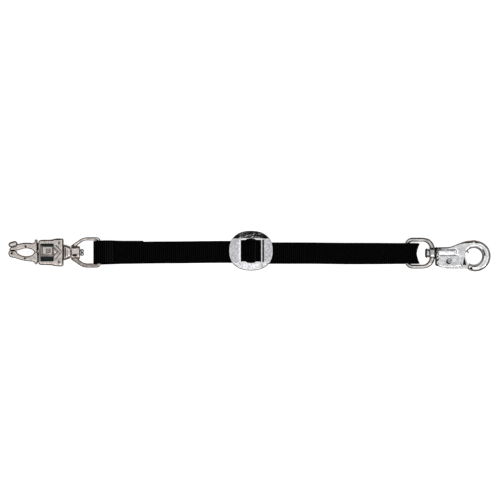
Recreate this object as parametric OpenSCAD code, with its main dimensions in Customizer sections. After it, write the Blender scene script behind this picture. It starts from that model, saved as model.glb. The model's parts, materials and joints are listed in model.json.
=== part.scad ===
// Webbing martingale strap: a panic snap, an oval slide and a bull snap on one-inch nylon webbing.
// Lengths are in millimetres. X runs along the strap towards the bull snap, Z is up, and the strap
// lies on the plane Z = 0. The origin is under the middle of the whole assembly.

/* [Webbing] */
// Width of the webbing
web_w = 25.4; // [24.4:0.2:25.6]
// Thickness of one layer of webbing
web_t = 1.7; // [1.4:0.1:1.7]
// From the slide's bar to the bar of the panic snap's eye
left_run = 175.2; // [160:0.1:400]
// From the slide's bar to the bar of the bull snap's eye
right_run = 179.9; // [150:0.1:400]
// Length of the sewn fold at the panic snap
fold_l = 51; // [40:1:60]

/* [Panic snap] */
// Half depth of the sleeve, which is also the height of the snap's axis
sleeve_half_z = 11.2; // [11:0.1:12.5]
// How far the sleeve pulls back
sleeve_travel = 8.5; // [6:0.1:8.5]
// Half thickness of the jaws
jaw_half_z = 4.3; // [4:0.1:5]
// Half height of the almond opening between the jaws
jaw_eye_half_w = 5.4; // [4:0.1:5.6]
// Radius of the round wire of the panic snap's eye
panic_wire_r = 1.9; // [1.6:0.1:2]

/* [Slide] */
// Length of the slide along the strap
slide_l = 50.8; // [48:0.1:54]
// Width of the slide across the strap
slide_w = 46; // [44:0.1:48]
// Thickness of the slide's plate
slide_t = 2.2; // [1.8:0.1:2.4]
// Radius of the slide's centre bar
slide_bar_r = 2; // [1.7:0.1:2]

/* [Bull snap] */
// Radius of the bull snap's barrel; its axis lies a little higher than this
barrel_r = 6.3; // [6:0.1:6.6]
// Half thickness of the bull snap's cheeks
cheek_half_z = 5.7; // [5.4:0.1:6]
// Radius of the hook's round opening
hook_eye_r = 9.5; // [8.5:0.1:9.5]
// Radius of the hook outside
hook_outer_r = 17.8; // [17:0.1:18.5]
// Radius of the round wire of the bull snap's eye
bull_wire_r = 2.3; // [2:0.1:2.3]
// How far the gate swings into the body, in degrees
gate_swing = 28; // [15:1:28]

/* [Hidden] */
$fn = 48;

fit = 0.05;    // radial clearance of a pin that turns in its hole
gap = 0.3;     // clearance between pieces that pass each other
chrome = [0.78, 0.79, 0.81];
steel = [0.55, 0.56, 0.58];
nylon = [0.05, 0.05, 0.055];
thread = [0.16, 0.15, 0.15];

// Places along the strap
slide_x = 1.6;
panic_bar_x = slide_x - left_run;
bull_bar_x = slide_x + right_run;
left_y = 0.2;      // centre line of the left webbing
center_y = 1.0;    // centre line of the webbing inside the slide
right_y = -0.8;    // centre line of the right webbing and the bull snap
slide_y = 2.0;     // centre line of the slide
panic_z = sleeve_half_z;
bull_z = barrel_r + 0.1;

// Heights of the layers at the slide
bar_z = slide_bar_r + web_t + 0.2;
under_plate = 2 * web_t + 1.2;
upper_z = web_t + 0.05;          // underside of the upper layer on the right

// The webbing bends at two places beside the slide
left_bend_x = slide_x - 33.1;
right_bend_x = slide_x + 31.4;
left_bend_gap = 1.5;
right_bend_gap = 2.5;

// Panic snap, measured from the bar of its eye
pin_x = panic_bar_x - 66.4;
pin_y = 7.5;
pin_r = 1.6;
knuckle_r = 3.9;
sleeve_x0 = panic_bar_x - 69.5;
sleeve_x1 = panic_bar_x - 40.9;
sleeve_in_y = 12;
sleeve_in_z = 6.6;
sleeve_rear_r = 9.3;
spring_room_r = 7.7;
web_x0 = panic_bar_x - 59;       // the sleeve's inner shoulder
web_x1 = panic_bar_x - 56.6;
core_x0 = sleeve_x0 - 0.2;
core_x1 = web_x0 - 0.6;
shank_r = 4.5;
neck_x0 = sleeve_x1 - 0.1;
neck_x1 = panic_bar_x - 32.5;
neck_r = 8.9;
neck_tip_r = 6.5;
boss_x0 = neck_x1 + 0.5;
boss_x1 = panic_bar_x - 21.8;
boss_r = 7.2;
panic_stud_r = 2.6;
jaw_tip_x = panic_bar_x - 104.5;
jaw_eye_x = panic_bar_x - 83.9;
jaw_eye_y = 1.1;
jaw_eye_half_l = 10.9;
jaw_part_y = 2.0;                // where the two jaw tips meet
foot_x0 = sleeve_x0 - 4.3;
foot_x1 = sleeve_x0 - 0.5;

// Bull snap, measured from the bar of its eye
eye_member_x = bull_bar_x + 29.3;
eye_member_r = 2.9;
bull_x0 = bull_bar_x + 32.6;
bull_stud_r = 3;
hook_x = bull_bar_x + 78.8;
hook_y = right_y - 3.4;
hook_eye_x = bull_bar_x + 77.2;
hook_eye_y = right_y - 3.7;
rivet_x = bull_bar_x + 48.9;
rivet_y = right_y - 8.8;
rivet_r = 2.4;
gate_half_z = 2.7;
gate_reach = 22.2;               // the gate's furthest point from its rivet

// ---- shared shapes ----

function smooth(u) = let (v = max(0, min(1, u))) v * v * (3 - 2 * v);
function arc(c, r, a0, a1, n = 12) =
    [for (i = [0:n]) let (a = a0 + (a1 - a0) * i / n) c + r * [cos(a), sin(a)]];
function spaced(a, b, n) = [for (i = [0:n]) a + (b - a) * i / n];
function unit(v) = v / norm(v);

// A round rod between two points that lie along X
module x_rod(x0, x1, r) {
    translate([x0, 0, 0]) rotate([0, 90, 0]) cylinder(h = x1 - x0, r = r);
}

module x_cone(x0, x1, r0, r1) {
    translate([x0, 0, 0]) rotate([0, 90, 0]) cylinder(h = x1 - x0, r1 = r0, r2 = r1);
}

module y_rod(x, y0, y1, r) {
    translate([x, y0, 0]) rotate([-90, 0, 0]) cylinder(h = y1 - y0, r = r);
}

// A straight round wire in the XY plane
module wire(a, b, r) {
    d = b - a;
    translate([a[0], a[1], 0])
        rotate([0, 0, atan2(d[1], d[0])])
            rotate([0, 90, 0]) cylinder(h = norm(d), r = r);
}

// A bent round wire in the XY plane
module wire_bend(c, bend_r, r, a0, a1) {
    translate([c[0], c[1], 0])
        rotate([0, 0, a0])
            rotate_extrude(angle = a1 - a0) translate([bend_r, 0]) circle(r);
}

// Extrudes a side view, drawn as [X, Z], across the strap
module across(y, w) {
    translate([0, y + w / 2, 0]) rotate([90, 0, 0]) linear_extrude(w) children();
}

// Rounds the outward corners of an outline
module soften(r) {
    offset(r = r, $fn = 24) offset(delta = -r) children();
}

// A flat casting with rounded edges: its outline drawn in three steps that draw in towards both faces
module casting(half_z, round_r) {
    for (i = [0:2])
        linear_extrude(2 * (half_z - round_r * (1 - sin(30 * (i + 1)))), center = true)
            offset(delta = -round_r * (1 - cos(36 * i))) children();
}

// A dome-headed stud end along +X or -X, standing on the plane at x
module dome(x, r, h, dir) {
    ball_r = (r * r + h * h) / (2 * h);
    translate([x, 0, 0]) rotate([0, 90 * dir, 0]) intersection() {
        cylinder(h = h, r = r);
        translate([0, 0, h - ball_r]) sphere(ball_r);
    }
}

// A round wire swept along a path; up is a direction that the path never follows
module tube(path, r, up, sides = 8) {
    n = len(path);
    rings = [for (i = [0:n - 1])
        let (
            t = unit(path[min(i + 1, n - 1)] - path[max(i - 1, 0)]),
            s = unit(cross(t, up)),
            q = cross(s, t)
        )
        for (k = [0:sides - 1]) path[i] + r * (cos(360 * k / sides) * s + sin(360 * k / sides) * q)];
    walls = [for (i = [0:n - 2], k = [0:sides - 1])
        let (a = i * sides + k, b = i * sides + (k + 1) % sides)
        [a, a + sides, b + sides, b]];
    caps = [[for (k = [0:sides - 1]) k], [for (k = [sides - 1:-1:0]) (n - 1) * sides + k]];
    polyhedron(rings, concat(walls, caps));
}

// ---- webbing ----

// Height of the seam between the two layers of the sewn fold at the panic snap
fold_flat_x = panic_bar_x + fold_l + 3;
function fold_mid(x) =
    web_t + (panic_z - web_t) * smooth((fold_flat_x - x) / (fold_flat_x - panic_bar_x));
bar_loop_r = panic_wire_r + gap;
function fold_half_gap(x) = bar_loop_r * smooth((panic_bar_x + 13.5 - x) / 13.5);
loop_x = panic_bar_x - 2.7;      // the loose end of the loop, beyond the bar

module fold_outline() {
    right = left_bend_x - left_bend_gap;
    rise = spaced(fold_flat_x, panic_bar_x, 14);
    fall = spaced(panic_bar_x, panic_bar_x + fold_l, 14);
    rest = spaced(panic_bar_x + fold_l, fold_flat_x, 2);
    polygon(concat(
        [[right, 0]],
        [for (x = rise) [x, fold_mid(x) - fold_half_gap(x) - web_t]],
        arc([loop_x, panic_z], bar_loop_r + web_t, 270, 90),
        [for (x = fall) [x, fold_mid(x) + fold_half_gap(x) + web_t]],
        [for (x = rest) [x, fold_mid(x)]],
        [[right, web_t]]
    ));
}

module fold_hole() {
    out = spaced(panic_bar_x + 13.2, panic_bar_x, 8);
    back = spaced(panic_bar_x, panic_bar_x + 13, 8);
    polygon(concat(
        [for (x = out) [x, fold_mid(x) - fold_half_gap(x)]],
        arc([loop_x, panic_z], bar_loop_r, 270, 90),
        [for (x = back) [x, fold_mid(x) + fold_half_gap(x)]]
    ));
}

module webbing_left() {
    color(nylon) across(left_y, web_w) difference() {
        fold_outline();
        fold_hole();
    }
}

// Four rows of lock stitches across the sewn fold
module fold_stitching() {
    stitch_r = 0.35;
    rows = [for (i = [0:3]) panic_bar_x + 7.6 + 2.6 * i];
    color(thread)
        for (x = rows, k = [-4:4])
            translate([x, left_y + 2.6 * k, fold_mid(x) + fold_half_gap(x) + web_t + stitch_r + 0.25])
                rotate([90, 0, 0]) cylinder(h = 1.7, r = stitch_r, center = true, $fn = 8);
}

// The running webbing goes under the slide's plate, over the centre bar and under the plate again
crest_r = slide_bar_r + web_t + 0.1;
dip_left = [slide_x - 13.6, web_t / 2];
dip_right = [slide_x + 12.2, upper_z + web_t / 2];
crest_mid_r = crest_r + web_t / 2;
function rise_angle(p) =
    let (dx = abs(slide_x - p[0]), dz = bar_z - p[1], d = norm([dx, dz]))
    atan2(dz, dx) + asin(crest_mid_r / d);
crest_left_a = 90 + rise_angle(dip_left);
crest_right_a = 90 - rise_angle(dip_right);

function crest_side(r, side) = concat(
    [[left_bend_x + left_bend_gap, dip_left[1] + side * web_t / 2]],
    [[dip_left[0] - side * 0.5, dip_left[1] + side * web_t / 2]],
    arc([slide_x, bar_z], r, crest_left_a, crest_right_a, 16),
    [[dip_right[0] + side * 0.5, dip_right[1] + side * web_t / 2]],
    [[right_bend_x - right_bend_gap, dip_right[1] + side * web_t / 2]]
);

module webbing_center() {
    lower = crest_side(crest_r, -1);
    upper = crest_side(crest_r + web_t, 1);
    color(nylon) across(center_y, web_w)
        polygon(concat(lower, [for (i = [len(upper) - 1:-1:0]) upper[i]]));
}

// The return layer comes back from the bull snap and is sewn round the centre bar
module webbing_bar_loop() {
    in_r = slide_bar_r + 0.05;
    out_r = in_r + web_t;
    right = right_bend_x - right_bend_gap;
    color(nylon) difference() {
        union() {
            translate([0, center_y, bar_z]) y_rod(slide_x, -web_w / 2, web_w / 2, out_r);
            across(center_y, web_w) polygon([
                [slide_x - 1, bar_z - out_r + 0.4], [slide_x - 1, bar_z - in_r - 0.2],
                [slide_x + 3, bar_z - 0.5], [slide_x + 8, web_t],
                [right, web_t], [right, 0], [slide_x + 4, 0],
            ]);
        }
        translate([0, center_y, bar_z]) y_rod(slide_x, -web_w, web_w, in_r);
    }
}

// One row of lock stitches beside the centre bar
module slide_stitching() {
    stitch_r = 0.35;
    a = crest_right_a;
    foot = [slide_x, bar_z] + (crest_r + web_t + stitch_r + 0.05) * [cos(a), sin(a)];
    down = [sin(a), -cos(a)];
    at = foot + 2.2 * down;
    color(thread)
        for (k = [-4:4])
            translate([at[0], center_y + 2.5 * k, at[1]])
                rotate([90, 0, 0]) cylinder(h = 1.6, r = stitch_r, center = true, $fn = 8);
}

// Two layers that open into a loose loop round the bull snap's eye
loop_r = 4.6;
bull_loop_x = bull_bar_x + 5.2;
loop_start_x = bull_bar_x - 24;
rise_start_x = bull_bar_x - 40;
bull_loop_z = max(bull_z, loop_r + web_t + 0.1);
function right_mid(x) =
    upper_z - 0.025 + (bull_loop_z - upper_z) * smooth((x - rise_start_x) / (bull_bar_x - rise_start_x));
function right_half_gap(x) =
    0.15 + (loop_r - 0.15) * smooth((x - loop_start_x) / (bull_bar_x - loop_start_x));
loop_half_w = 11.6;

module right_outline(extra) {
    left = right_bend_x + right_bend_gap;
    run = spaced(rise_start_x, bull_bar_x, 16);
    polygon(concat(
        [[left, max(0, right_mid(left) - 0.15 - extra)]],
        [for (x = run) [x, max(0, right_mid(x) - right_half_gap(x) - extra)]],
        arc([bull_loop_x, bull_loop_z], loop_r + extra, -90, 90),
        [for (i = [len(run) - 1:-1:0]) let (x = run[i]) [x, right_mid(x) + right_half_gap(x) + extra]],
        [[left, right_mid(left) + 0.15 + extra]]
    ));
}

module webbing_right() {
    color(nylon) intersection() {
        across(right_y, web_w) difference() {
            right_outline(web_t);
            translate([-0.01, 0]) right_outline(0);
        }
        translate([0, right_y, -1]) linear_extrude(30) polygon([
            [right_bend_x, -web_w / 2], [bull_bar_x - 14, -web_w / 2],
            [bull_bar_x - 6, -loop_half_w], [bull_bar_x + 14, -loop_half_w],
            [bull_bar_x + 14, loop_half_w], [bull_bar_x - 6, loop_half_w],
            [bull_bar_x - 14, web_w / 2], [right_bend_x, web_w / 2],
        ]);
    }
}

// ---- slide ----

window_half_l = 11.5;
window_half_w = 14.1;
crease_y = 13.5;
wing_slope = under_plate / (slide_w / 2 - crease_y);

module slide_outline() {
    power = 2 / 2.3;
    polygon([for (a = [0:5:355])
        [
            slide_l / 2 * sign(cos(a)) * pow(abs(cos(a)), power),
            slide_w / 2 * sign(sin(a)) * pow(abs(sin(a)), power),
        ]]);
}

// Cross section of the bent plate, drawn as [Y, Z]
module slide_section() {
    rim = slide_w / 2 + 1;
    drop = wing_slope * (rim - crease_y);
    polygon([
        [-rim, under_plate - drop], [-crease_y, under_plate], [crease_y, under_plate],
        [rim, under_plate - drop], [rim, under_plate + slide_t - drop],
        [crease_y, under_plate + slide_t], [-crease_y, under_plate + slide_t],
        [-rim, under_plate + slide_t - drop],
    ]);
}

module rounded_window() {
    offset(r = 2) square([2 * window_half_l - 4, 2 * window_half_w - 4], center = true);
}

tenon_r = 1.2;
tenon_half_l = 16;
module slide_frame() {
    color(chrome) translate([slide_x, slide_y, 0]) difference() {
        union() {
            intersection() {
                linear_extrude(20) slide_outline();
                rotate([90, 0, 90]) linear_extrude(60, center = true) slide_section();
                linear_extrude(20) difference() {
                    square(80, center = true);
                    rounded_window();
                }
            }
            // lugs under the wings hold the ends of the bar
            for (s = [-1, 1])
                translate([0, s * 15.7, under_plate / 2 + 1.1])
                    cube([5.6, 3, under_plate - 1.5], center = true);
        }
        translate([0, 0, bar_z]) y_rod(0, -tenon_half_l, tenon_half_l, tenon_r);
    }
}

module slide_bar() {
    color(steel) translate([slide_x, slide_y, bar_z]) {
        y_rod(0, -13.9, 13.9, slide_bar_r);
        y_rod(0, -tenon_half_l, tenon_half_l, tenon_r);
    }
}

// ---- panic snap ----

module at_panic() {
    translate([0, 0, panic_z]) children();
}

jaw_top_r = 34;
jaw_low_r = 60;

// Both jaws closed, seen from above
module jaws_outline() {
    soften(2.6) intersection() {
        translate([jaw_tip_x, -20]) square([foot_x1 - jaw_tip_x, 40]);
        translate([jaw_eye_x + 0.5, 11.3 - jaw_top_r]) circle(jaw_top_r, $fn = 64);
        translate([jaw_eye_x + 3.5, jaw_low_r - 9.4]) circle(jaw_low_r, $fn = 96);
    }
}

module jaws_eye() {
    r = (jaw_eye_half_l * jaw_eye_half_l + jaw_eye_half_w * jaw_eye_half_w) / (2 * jaw_eye_half_w);
    translate([jaw_eye_x, jaw_eye_y]) intersection() {
        translate([0, r - jaw_eye_half_w]) circle(r);
        translate([0, jaw_eye_half_w - r]) circle(r);
    }
}

// The flared foot that stops the sleeve in front, on the side given by s
module jaw_foot(s, y) {
    polygon([
        [foot_x0 - 2.6, s * 7], [foot_x0, s * (y - 0.6)], [foot_x0 + 0.9, s * y],
        [foot_x1, s * y], [foot_x1, s * 1],
    ]);
}

// Everything above the line where the jaws meet
module upper_side(shift) {
    polygon([
        [jaw_tip_x - 5, jaw_part_y + shift], [jaw_eye_x, jaw_part_y + shift],
        [foot_x0 - 1, 0.6 + shift], [foot_x1 + 12, 0.6 + shift],
        [foot_x1 + 12, 30], [jaw_tip_x - 5, 30],
    ]);
}

// Side view of the jaws, drawn as [X, Z]: thinner at the tip
module jaw_side() {
    tip = jaw_half_z - 0.9;
    polygon([
        [jaw_tip_x - 1, -tip + 0.6], [jaw_tip_x + 1.2, -tip], [jaw_eye_x, -jaw_half_z],
        [sleeve_x1, -jaw_half_z], [sleeve_x1, jaw_half_z],
        [jaw_eye_x, jaw_half_z], [jaw_tip_x + 1.2, tip], [jaw_tip_x - 1, tip - 0.6],
    ]);
}

// A small diamond-shaped dent in the edge of the eye
module jaw_notch(y) {
    translate([jaw_eye_x - 0.5, y]) rotate([0, 0, 45]) square(1.9, center = true);
}

module upper_jaw_outline() {
    soften(1.2) difference() {
        intersection() {
            union() {
                jaws_outline();
                jaw_foot(1, 14.6);
            }
            upper_side(0.15);
        }
        jaws_eye();
        jaw_notch(jaw_eye_y + jaw_eye_half_w);
    }
}

module lower_jaw_outline() {
    soften(1.2) difference() {
        union() {
            jaws_outline();
            jaw_foot(-1, 12.9);
        }
        upper_side(-0.15);
        jaws_eye();
        jaw_notch(jaw_eye_y - jaw_eye_half_w);
    }
    translate([foot_x1 - 3, -11.6]) square([core_x0 - foot_x1 + 6, 11.9]);
}

module panic_jaw() {
    ball_r = 4.3;
    color(chrome) at_panic() difference() {
        union() {
            difference() {
                intersection() {
                    casting(jaw_half_z, 2.4) upper_jaw_outline();
                    across(0, 60) jaw_side();
                }
                translate([pin_x, pin_y, 0])
                    cylinder(h = 30, r = knuckle_r + 0.9, center = true);
            }
            linear_extrude(6, center = true) hull() {
                translate([pin_x, pin_y]) circle(knuckle_r);
                translate([foot_x0 - 0.2, 2.4]) square([0.2, 8]);
            }
            translate([jaw_tip_x + ball_r + 0.4, 10, 0]) sphere(ball_r);
        }
        translate([pin_x, pin_y, 0]) cylinder(h = 30, r = pin_r + fit, center = true);
    }
}

// Fixed jaw, clevis, shank and neck in one casting
module panic_body() {
    color(chrome) at_panic() difference() {
        union() {
            intersection() {
                casting(jaw_half_z, 2.4) lower_jaw_outline();
                across(0, 60) jaw_side();
            }
            linear_extrude(12.4, center = true) {
                translate([core_x0, -11.6]) square([core_x1 - core_x0, 15]);
                translate([pin_x, pin_y]) circle(knuckle_r + 0.3);
                translate([pin_x - 2, 0]) square([core_x1 - pin_x + 2, 9]);
            }
            x_rod(core_x1 - 1, neck_x0 + 1, shank_r);
            x_rod(neck_x0, neck_x0 + 2.4, neck_r);
            x_cone(neck_x0 + 2.4, neck_x1, neck_r - 0.4, neck_tip_r);
        }
        // slot for the moving jaw's knuckle
        linear_extrude(6.6, center = true) {
            translate([pin_x, pin_y]) circle(knuckle_r + 0.6);
            translate([core_x0 - 4, 0.4]) square([pin_x - core_x0 + 4, 20]);
            translate([pin_x - 1, pin_y]) square([knuckle_r + 1.6, 8]);
        }
        translate([pin_x, pin_y, 0]) cylinder(h = 30, r = pin_r, center = true);
        x_rod(neck_x0 + 1, neck_x1 + 1, panic_stud_r);
    }
}

module panic_jaw_pin() {
    color(steel) at_panic() translate([pin_x, pin_y, 0])
        cylinder(h = 12.4, r = pin_r, center = true);
}

// Sleeve seen from above: slightly waisted, with a flange behind
module sleeve_outline() {
    upper = [
        [sleeve_x0, 12.9], [sleeve_x0 + 1.4, 14.3], [sleeve_x0 + 7, 14.2],
        [sleeve_x0 + 13, 14.6], [sleeve_x0 + 19, 15.4], [sleeve_x0 + 23.4, 16.5],
        [sleeve_x0 + 25.6, 16.8], [sleeve_x1 - 1, 16.3], [sleeve_x1, 15.2],
    ];
    polygon(concat(upper, [for (i = [len(upper) - 1:-1:0]) [upper[i][0], -upper[i][1]]]));
}

// A shallow arrow that shows which way the sleeve pulls
module pull_arrow() {
    tip = [sleeve_x0 + 25.6, 0.6];
    for (s = [-1, 1])
        polygon([
            tip, tip + [-7.4, s * 6.6], tip + [-8.6, s * 5.3], tip + [-2.6, 0],
        ]);
}

module panic_sleeve() {
    panel = [15.4, 20.2];
    color(chrome) at_panic() difference() {
        casting(sleeve_half_z, 1.5) sleeve_outline();
        // cavity for the clevis, bore round the spring, hole round the shank
        translate([sleeve_x0 - 1, -sleeve_in_y, -sleeve_in_z])
            cube([web_x0 - sleeve_x0 + 1, 2 * sleeve_in_y, 2 * sleeve_in_z]);
        x_rod(web_x1, sleeve_x1 + 1, spring_room_r);
        x_rod(sleeve_x1 - sleeve_travel - 0.7, sleeve_x1 + 1, sleeve_rear_r);
        x_rod(web_x0 - 1, web_x1 + 1, shank_r + gap);
        for (s = [-1, 1]) translate([0, 0, s * sleeve_half_z]) {
            // recessed panel with a raised pad left in it
            linear_extrude(1.8, center = true) difference() {
                translate([sleeve_x0 + 2.3, -panel[1] / 2]) square(panel);
                translate([sleeve_x0 + 6.4, -4.6]) square([7.6, 9.6]);
            }
            linear_extrude(0.8, center = true)
                translate([sleeve_x0 + 6, -5]) square([8.4, 10.4]);
            linear_extrude(1.2, center = true) pull_arrow();
            // two three-cornered dents in the flange
            for (y = [-1, 1])
                translate([sleeve_x0 + 24.2, 10.8 * y]) linear_extrude(1.6, center = true)
                    polygon([[-1.2, -1.6 * y], [1.2, 0], [-1.2, 1.6 * y]]);
        }
    }
}

module panic_sleeve_spring() {
    wire_r = 0.6;
    coil_r = 6.6;
    turns = 5;
    steps = 14 * turns;
    x0 = web_x1 + wire_r + 0.05;
    x1 = neck_x0 - wire_r - 0.05;
    path = [for (i = [0:steps]) let (a = 360 * turns * i / steps)
        [x0 + (x1 - x0) * i / steps, coil_r * cos(a), coil_r * sin(a)]];
    color(steel) at_panic() tube(path, wire_r, [1, 0, 0]);
}

module panic_swivel_rivet() {
    color(steel) at_panic() {
        x_rod(neck_x0 + 1, boss_x1 + 0.2, panic_stud_r);
        dome(boss_x1 + 0.1, 3.9, 4.2, 1);
    }
}

// D-shaped eye with a swivel boss
module panic_swivel_eye() {
    r = panic_wire_r;
    arm_y = 15.7;
    corner = 2.8;
    bend = 15;
    sweep = 35;
    bend_c = [panic_bar_x - 13, arm_y - bend];
    bend_end = bend_c + bend * [cos(90 + sweep), sin(90 + sweep)];
    flank = [cos(180 + sweep), sin(180 + sweep)];
    flank_end = bend_end + 10.9 * flank;
    color(chrome) at_panic() difference() {
        union() {
            x_rod(boss_x0, boss_x1, boss_r);
            y_rod(panic_bar_x, corner - arm_y, arm_y - corner, r);
            for (s = [-1, 1]) mirror([0, s < 0 ? 1 : 0, 0]) {
                wire_bend([panic_bar_x - corner, arm_y - corner], corner, r, 0, 90);
                wire([panic_bar_x - corner, arm_y], [bend_c[0], arm_y], r);
                wire_bend(bend_c, bend, r, 90, 90 + sweep);
                wire(bend_end, flank_end, r);
                wire(bend_end - 1.5 * flank, bend_end + 1.5 * flank, r - 0.6);   // joins bend and arm
                // web between the arm and the boss
                linear_extrude(3.2, center = true) polygon([
                    [boss_x0 + 2, 5], flank_end, bend_end + 5.5 * flank, [boss_x1 - 0.6, 5],
                ]);
            }
        }
        x_rod(boss_x0 - 5, boss_x1 + 1, panic_stud_r + fit);
        translate([boss_x0 - 10, -20, -10]) cube([10, 40, 20]);
    }
}

// ---- bull snap ----

module at_bull() {
    translate([0, right_y, bull_z]) children();
}

// The rounded eye, drawn about its own swivel axis
module bull_swivel_eye() {
    r = bull_wire_r;
    arm_y = 15.4;
    bend = 8;
    turn = 6.5;
    color(chrome) at_bull() difference() {
        union() {
            y_rod(bull_bar_x, bend - arm_y, arm_y - bend, r);
            y_rod(eye_member_x, turn - arm_y, arm_y - turn, eye_member_r);
            x_rod(eye_member_x - 3, eye_member_x + 2.9, barrel_r);
            for (s = [-1, 1]) mirror([0, s < 0 ? 1 : 0, 0]) {
                wire_bend([bull_bar_x + bend, arm_y - bend], bend, r, 90, 180);
                wire([bull_bar_x + bend, arm_y], [eye_member_x - turn, arm_y], r);
                wire_bend([eye_member_x - turn, arm_y - turn], turn, r, 0, 90);
            }
        }
        x_rod(eye_member_x - 10, eye_member_x + 10, bull_stud_r + fit);
    }
}

module bull_swivel_rivet() {
    color(steel) at_bull() {
        x_rod(eye_member_x - 3.2, bull_x0 + 8, bull_stud_r);
        dome(eye_member_x - 3.1, 5.5, 4.4, -1);
    }
}

// Body of the bull snap with its hook, seen from above and drawn about the swivel's axis
module bull_outline() {
    crown = [bull_x0 + 43.8, 14.2];
    back = [bull_x0 + 18.4, 6.6];
    rise = [for (x = spaced(crown[0], back[0], 8))
        [x, back[1] + (crown[1] - back[1]) * smooth((x - back[0]) / (crown[0] - back[0]))]];
    translate([0, -right_y]) difference() {
        union() {
            translate([0, right_y]) polygon(concat(
                [[bull_x0, -13.6], [bull_x0 + 1.2, -14.6], [bull_x0 + 8, -16.1], [bull_x0 + 28.5, -15.6]],
                arc([bull_x0 + 40.6, -8.8], 11, 218, 150, 6),
                [[crown[0], 10]],
                rise,
                [[bull_x0, 6.3]]
            ));
            translate([hook_x, hook_y]) circle(hook_outer_r, $fn = 60);
        }
        translate([hook_eye_x, hook_eye_y]) circle(hook_eye_r - 0.2);
    }
}

// The gate at rest with a straight front, drawn about its rivet
module gate_blank() {
    intersection() {
        union() {
            circle(5.4);
            polygon([
                [-4.6, -2.8], [-4.4, -8], [-2.6, -9.5], [20.9, -9.5],
                [20.9, -4.2], [18.9, 7.4], [17.4, 8.4], [2.4, 4.8],
            ]);
        }
        circle(gate_reach, $fn = 96);
    }
}

// The gate's front follows the hook's round opening
module gate_outline() {
    difference() {
        gate_blank();
        translate([hook_eye_x - rivet_x, hook_eye_y - rivet_y]) circle(hook_eye_r + gap);
    }
}

// The room that the gate sweeps, as it swings into the body
module gate_room() {
    offset(delta = 0.45)
        for (a = [0:3.5:gate_swing]) rotate([0, 0, a]) gate_blank();
    translate([1, -14]) square([gate_reach - 1, 10]);
}

module bull_body() {
    color(chrome) at_bull() difference() {
        union() {
            casting(cheek_half_z, 3.6) bull_outline();
            x_rod(bull_x0, bull_x0 + 24, barrel_r);
            x_cone(bull_x0 + 24, bull_x0 + 38, barrel_r, 2);
        }
        translate([hook_eye_x, hook_eye_y - right_y, 0])
            cylinder(h = 40, r = hook_eye_r, center = true, $fn = 96);
        x_rod(bull_x0 - 1, bull_x0 + 8, bull_stud_r);
        translate([rivet_x, rivet_y - right_y, 0]) {
            cylinder(h = 40, r = rivet_r, center = true);
            // the gate's slot, and the gap between the gate and the hook's nose
            linear_extrude(2 * (gate_half_z + gap), center = true) gate_room();
            linear_extrude(40, center = true) difference() {
                intersection() {
                    circle(gate_reach + 0.4, $fn = 96);
                    translate([14.6, -20]) square([20, 20]);
                }
                translate([-10, -7.2]) square([24.8, 30]);
            }
        }
    }
}

module bull_gate() {
    color(chrome) at_bull() translate([rivet_x, rivet_y - right_y, 0]) difference() {
        union() {
            linear_extrude(2 * gate_half_z, center = true) gate_outline();
            // ribbed thumb rest along the lower edge
            for (i = [0:5])
                translate([2 + 2.4 * i, -9.5, 0]) cylinder(h = 2 * gate_half_z, r = 0.6, center = true);
        }
        cylinder(h = 20, r = rivet_r + fit, center = true);
        // pocket for the spring and a groove for its leg
        translate([0, 0, 0.7]) cylinder(h = 5, r = 4.4);
        translate([0, -4.4, 0.7]) cube([12, 1.4, 5]);
        translate([-7, 3, 0.7]) cube([7, 1.4, 5]);
        // three-cornered recess behind the gate's front edge
        for (s = [-1, 1])
            translate([0, 0, s * gate_half_z]) linear_extrude(1.6, center = true)
                polygon([[17.4, -4], [19.2, -4], [17.6, 4.6]]);
    }
}

module bull_gate_rivet() {
    color(steel) at_bull() translate([rivet_x, rivet_y - right_y, 0]) {
        cylinder(h = 2 * cheek_half_z + 0.6, r = rivet_r, center = true);
    }
}

module bull_gate_spring() {
    wire_r = 0.4;
    coil_r = 3.7;
    turns = 1.5;
    steps = 24;
    z0 = 1.25;
    z1 = 2.2;
    coil = [for (i = [0:steps]) let (a = -90 - 360 * turns * i / steps)
        [coil_r * cos(a), coil_r * sin(a), z0 + (z1 - z0) * i / steps]];
    path = concat([[11, -coil_r, z0]], coil, [[-3.6, coil_r, z1]]);
    color(steel) at_bull() translate([rivet_x, rivet_y - right_y, 0]) tube(path, wire_r, [0, 0, 1]);
}

webbing_left();
webbing_center();
webbing_bar_loop();
webbing_right();
fold_stitching();
slide_stitching();
slide_frame();
slide_bar();
panic_body();
panic_jaw();
panic_jaw_pin();
panic_sleeve();
panic_sleeve_spring();
panic_swivel_rivet();
panic_swivel_eye();
bull_body();
bull_gate();
bull_gate_rivet();
bull_gate_spring();
bull_swivel_rivet();
bull_swivel_eye();
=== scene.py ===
"""Looks of the webbing martingale strap: plated snaps and slide on ribbed black nylon webbing.

The castings are distance functions, meshed by surface nets. The webbing is swept along its path.
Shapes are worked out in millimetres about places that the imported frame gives, and stored in metres.
"""

import json

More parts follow.
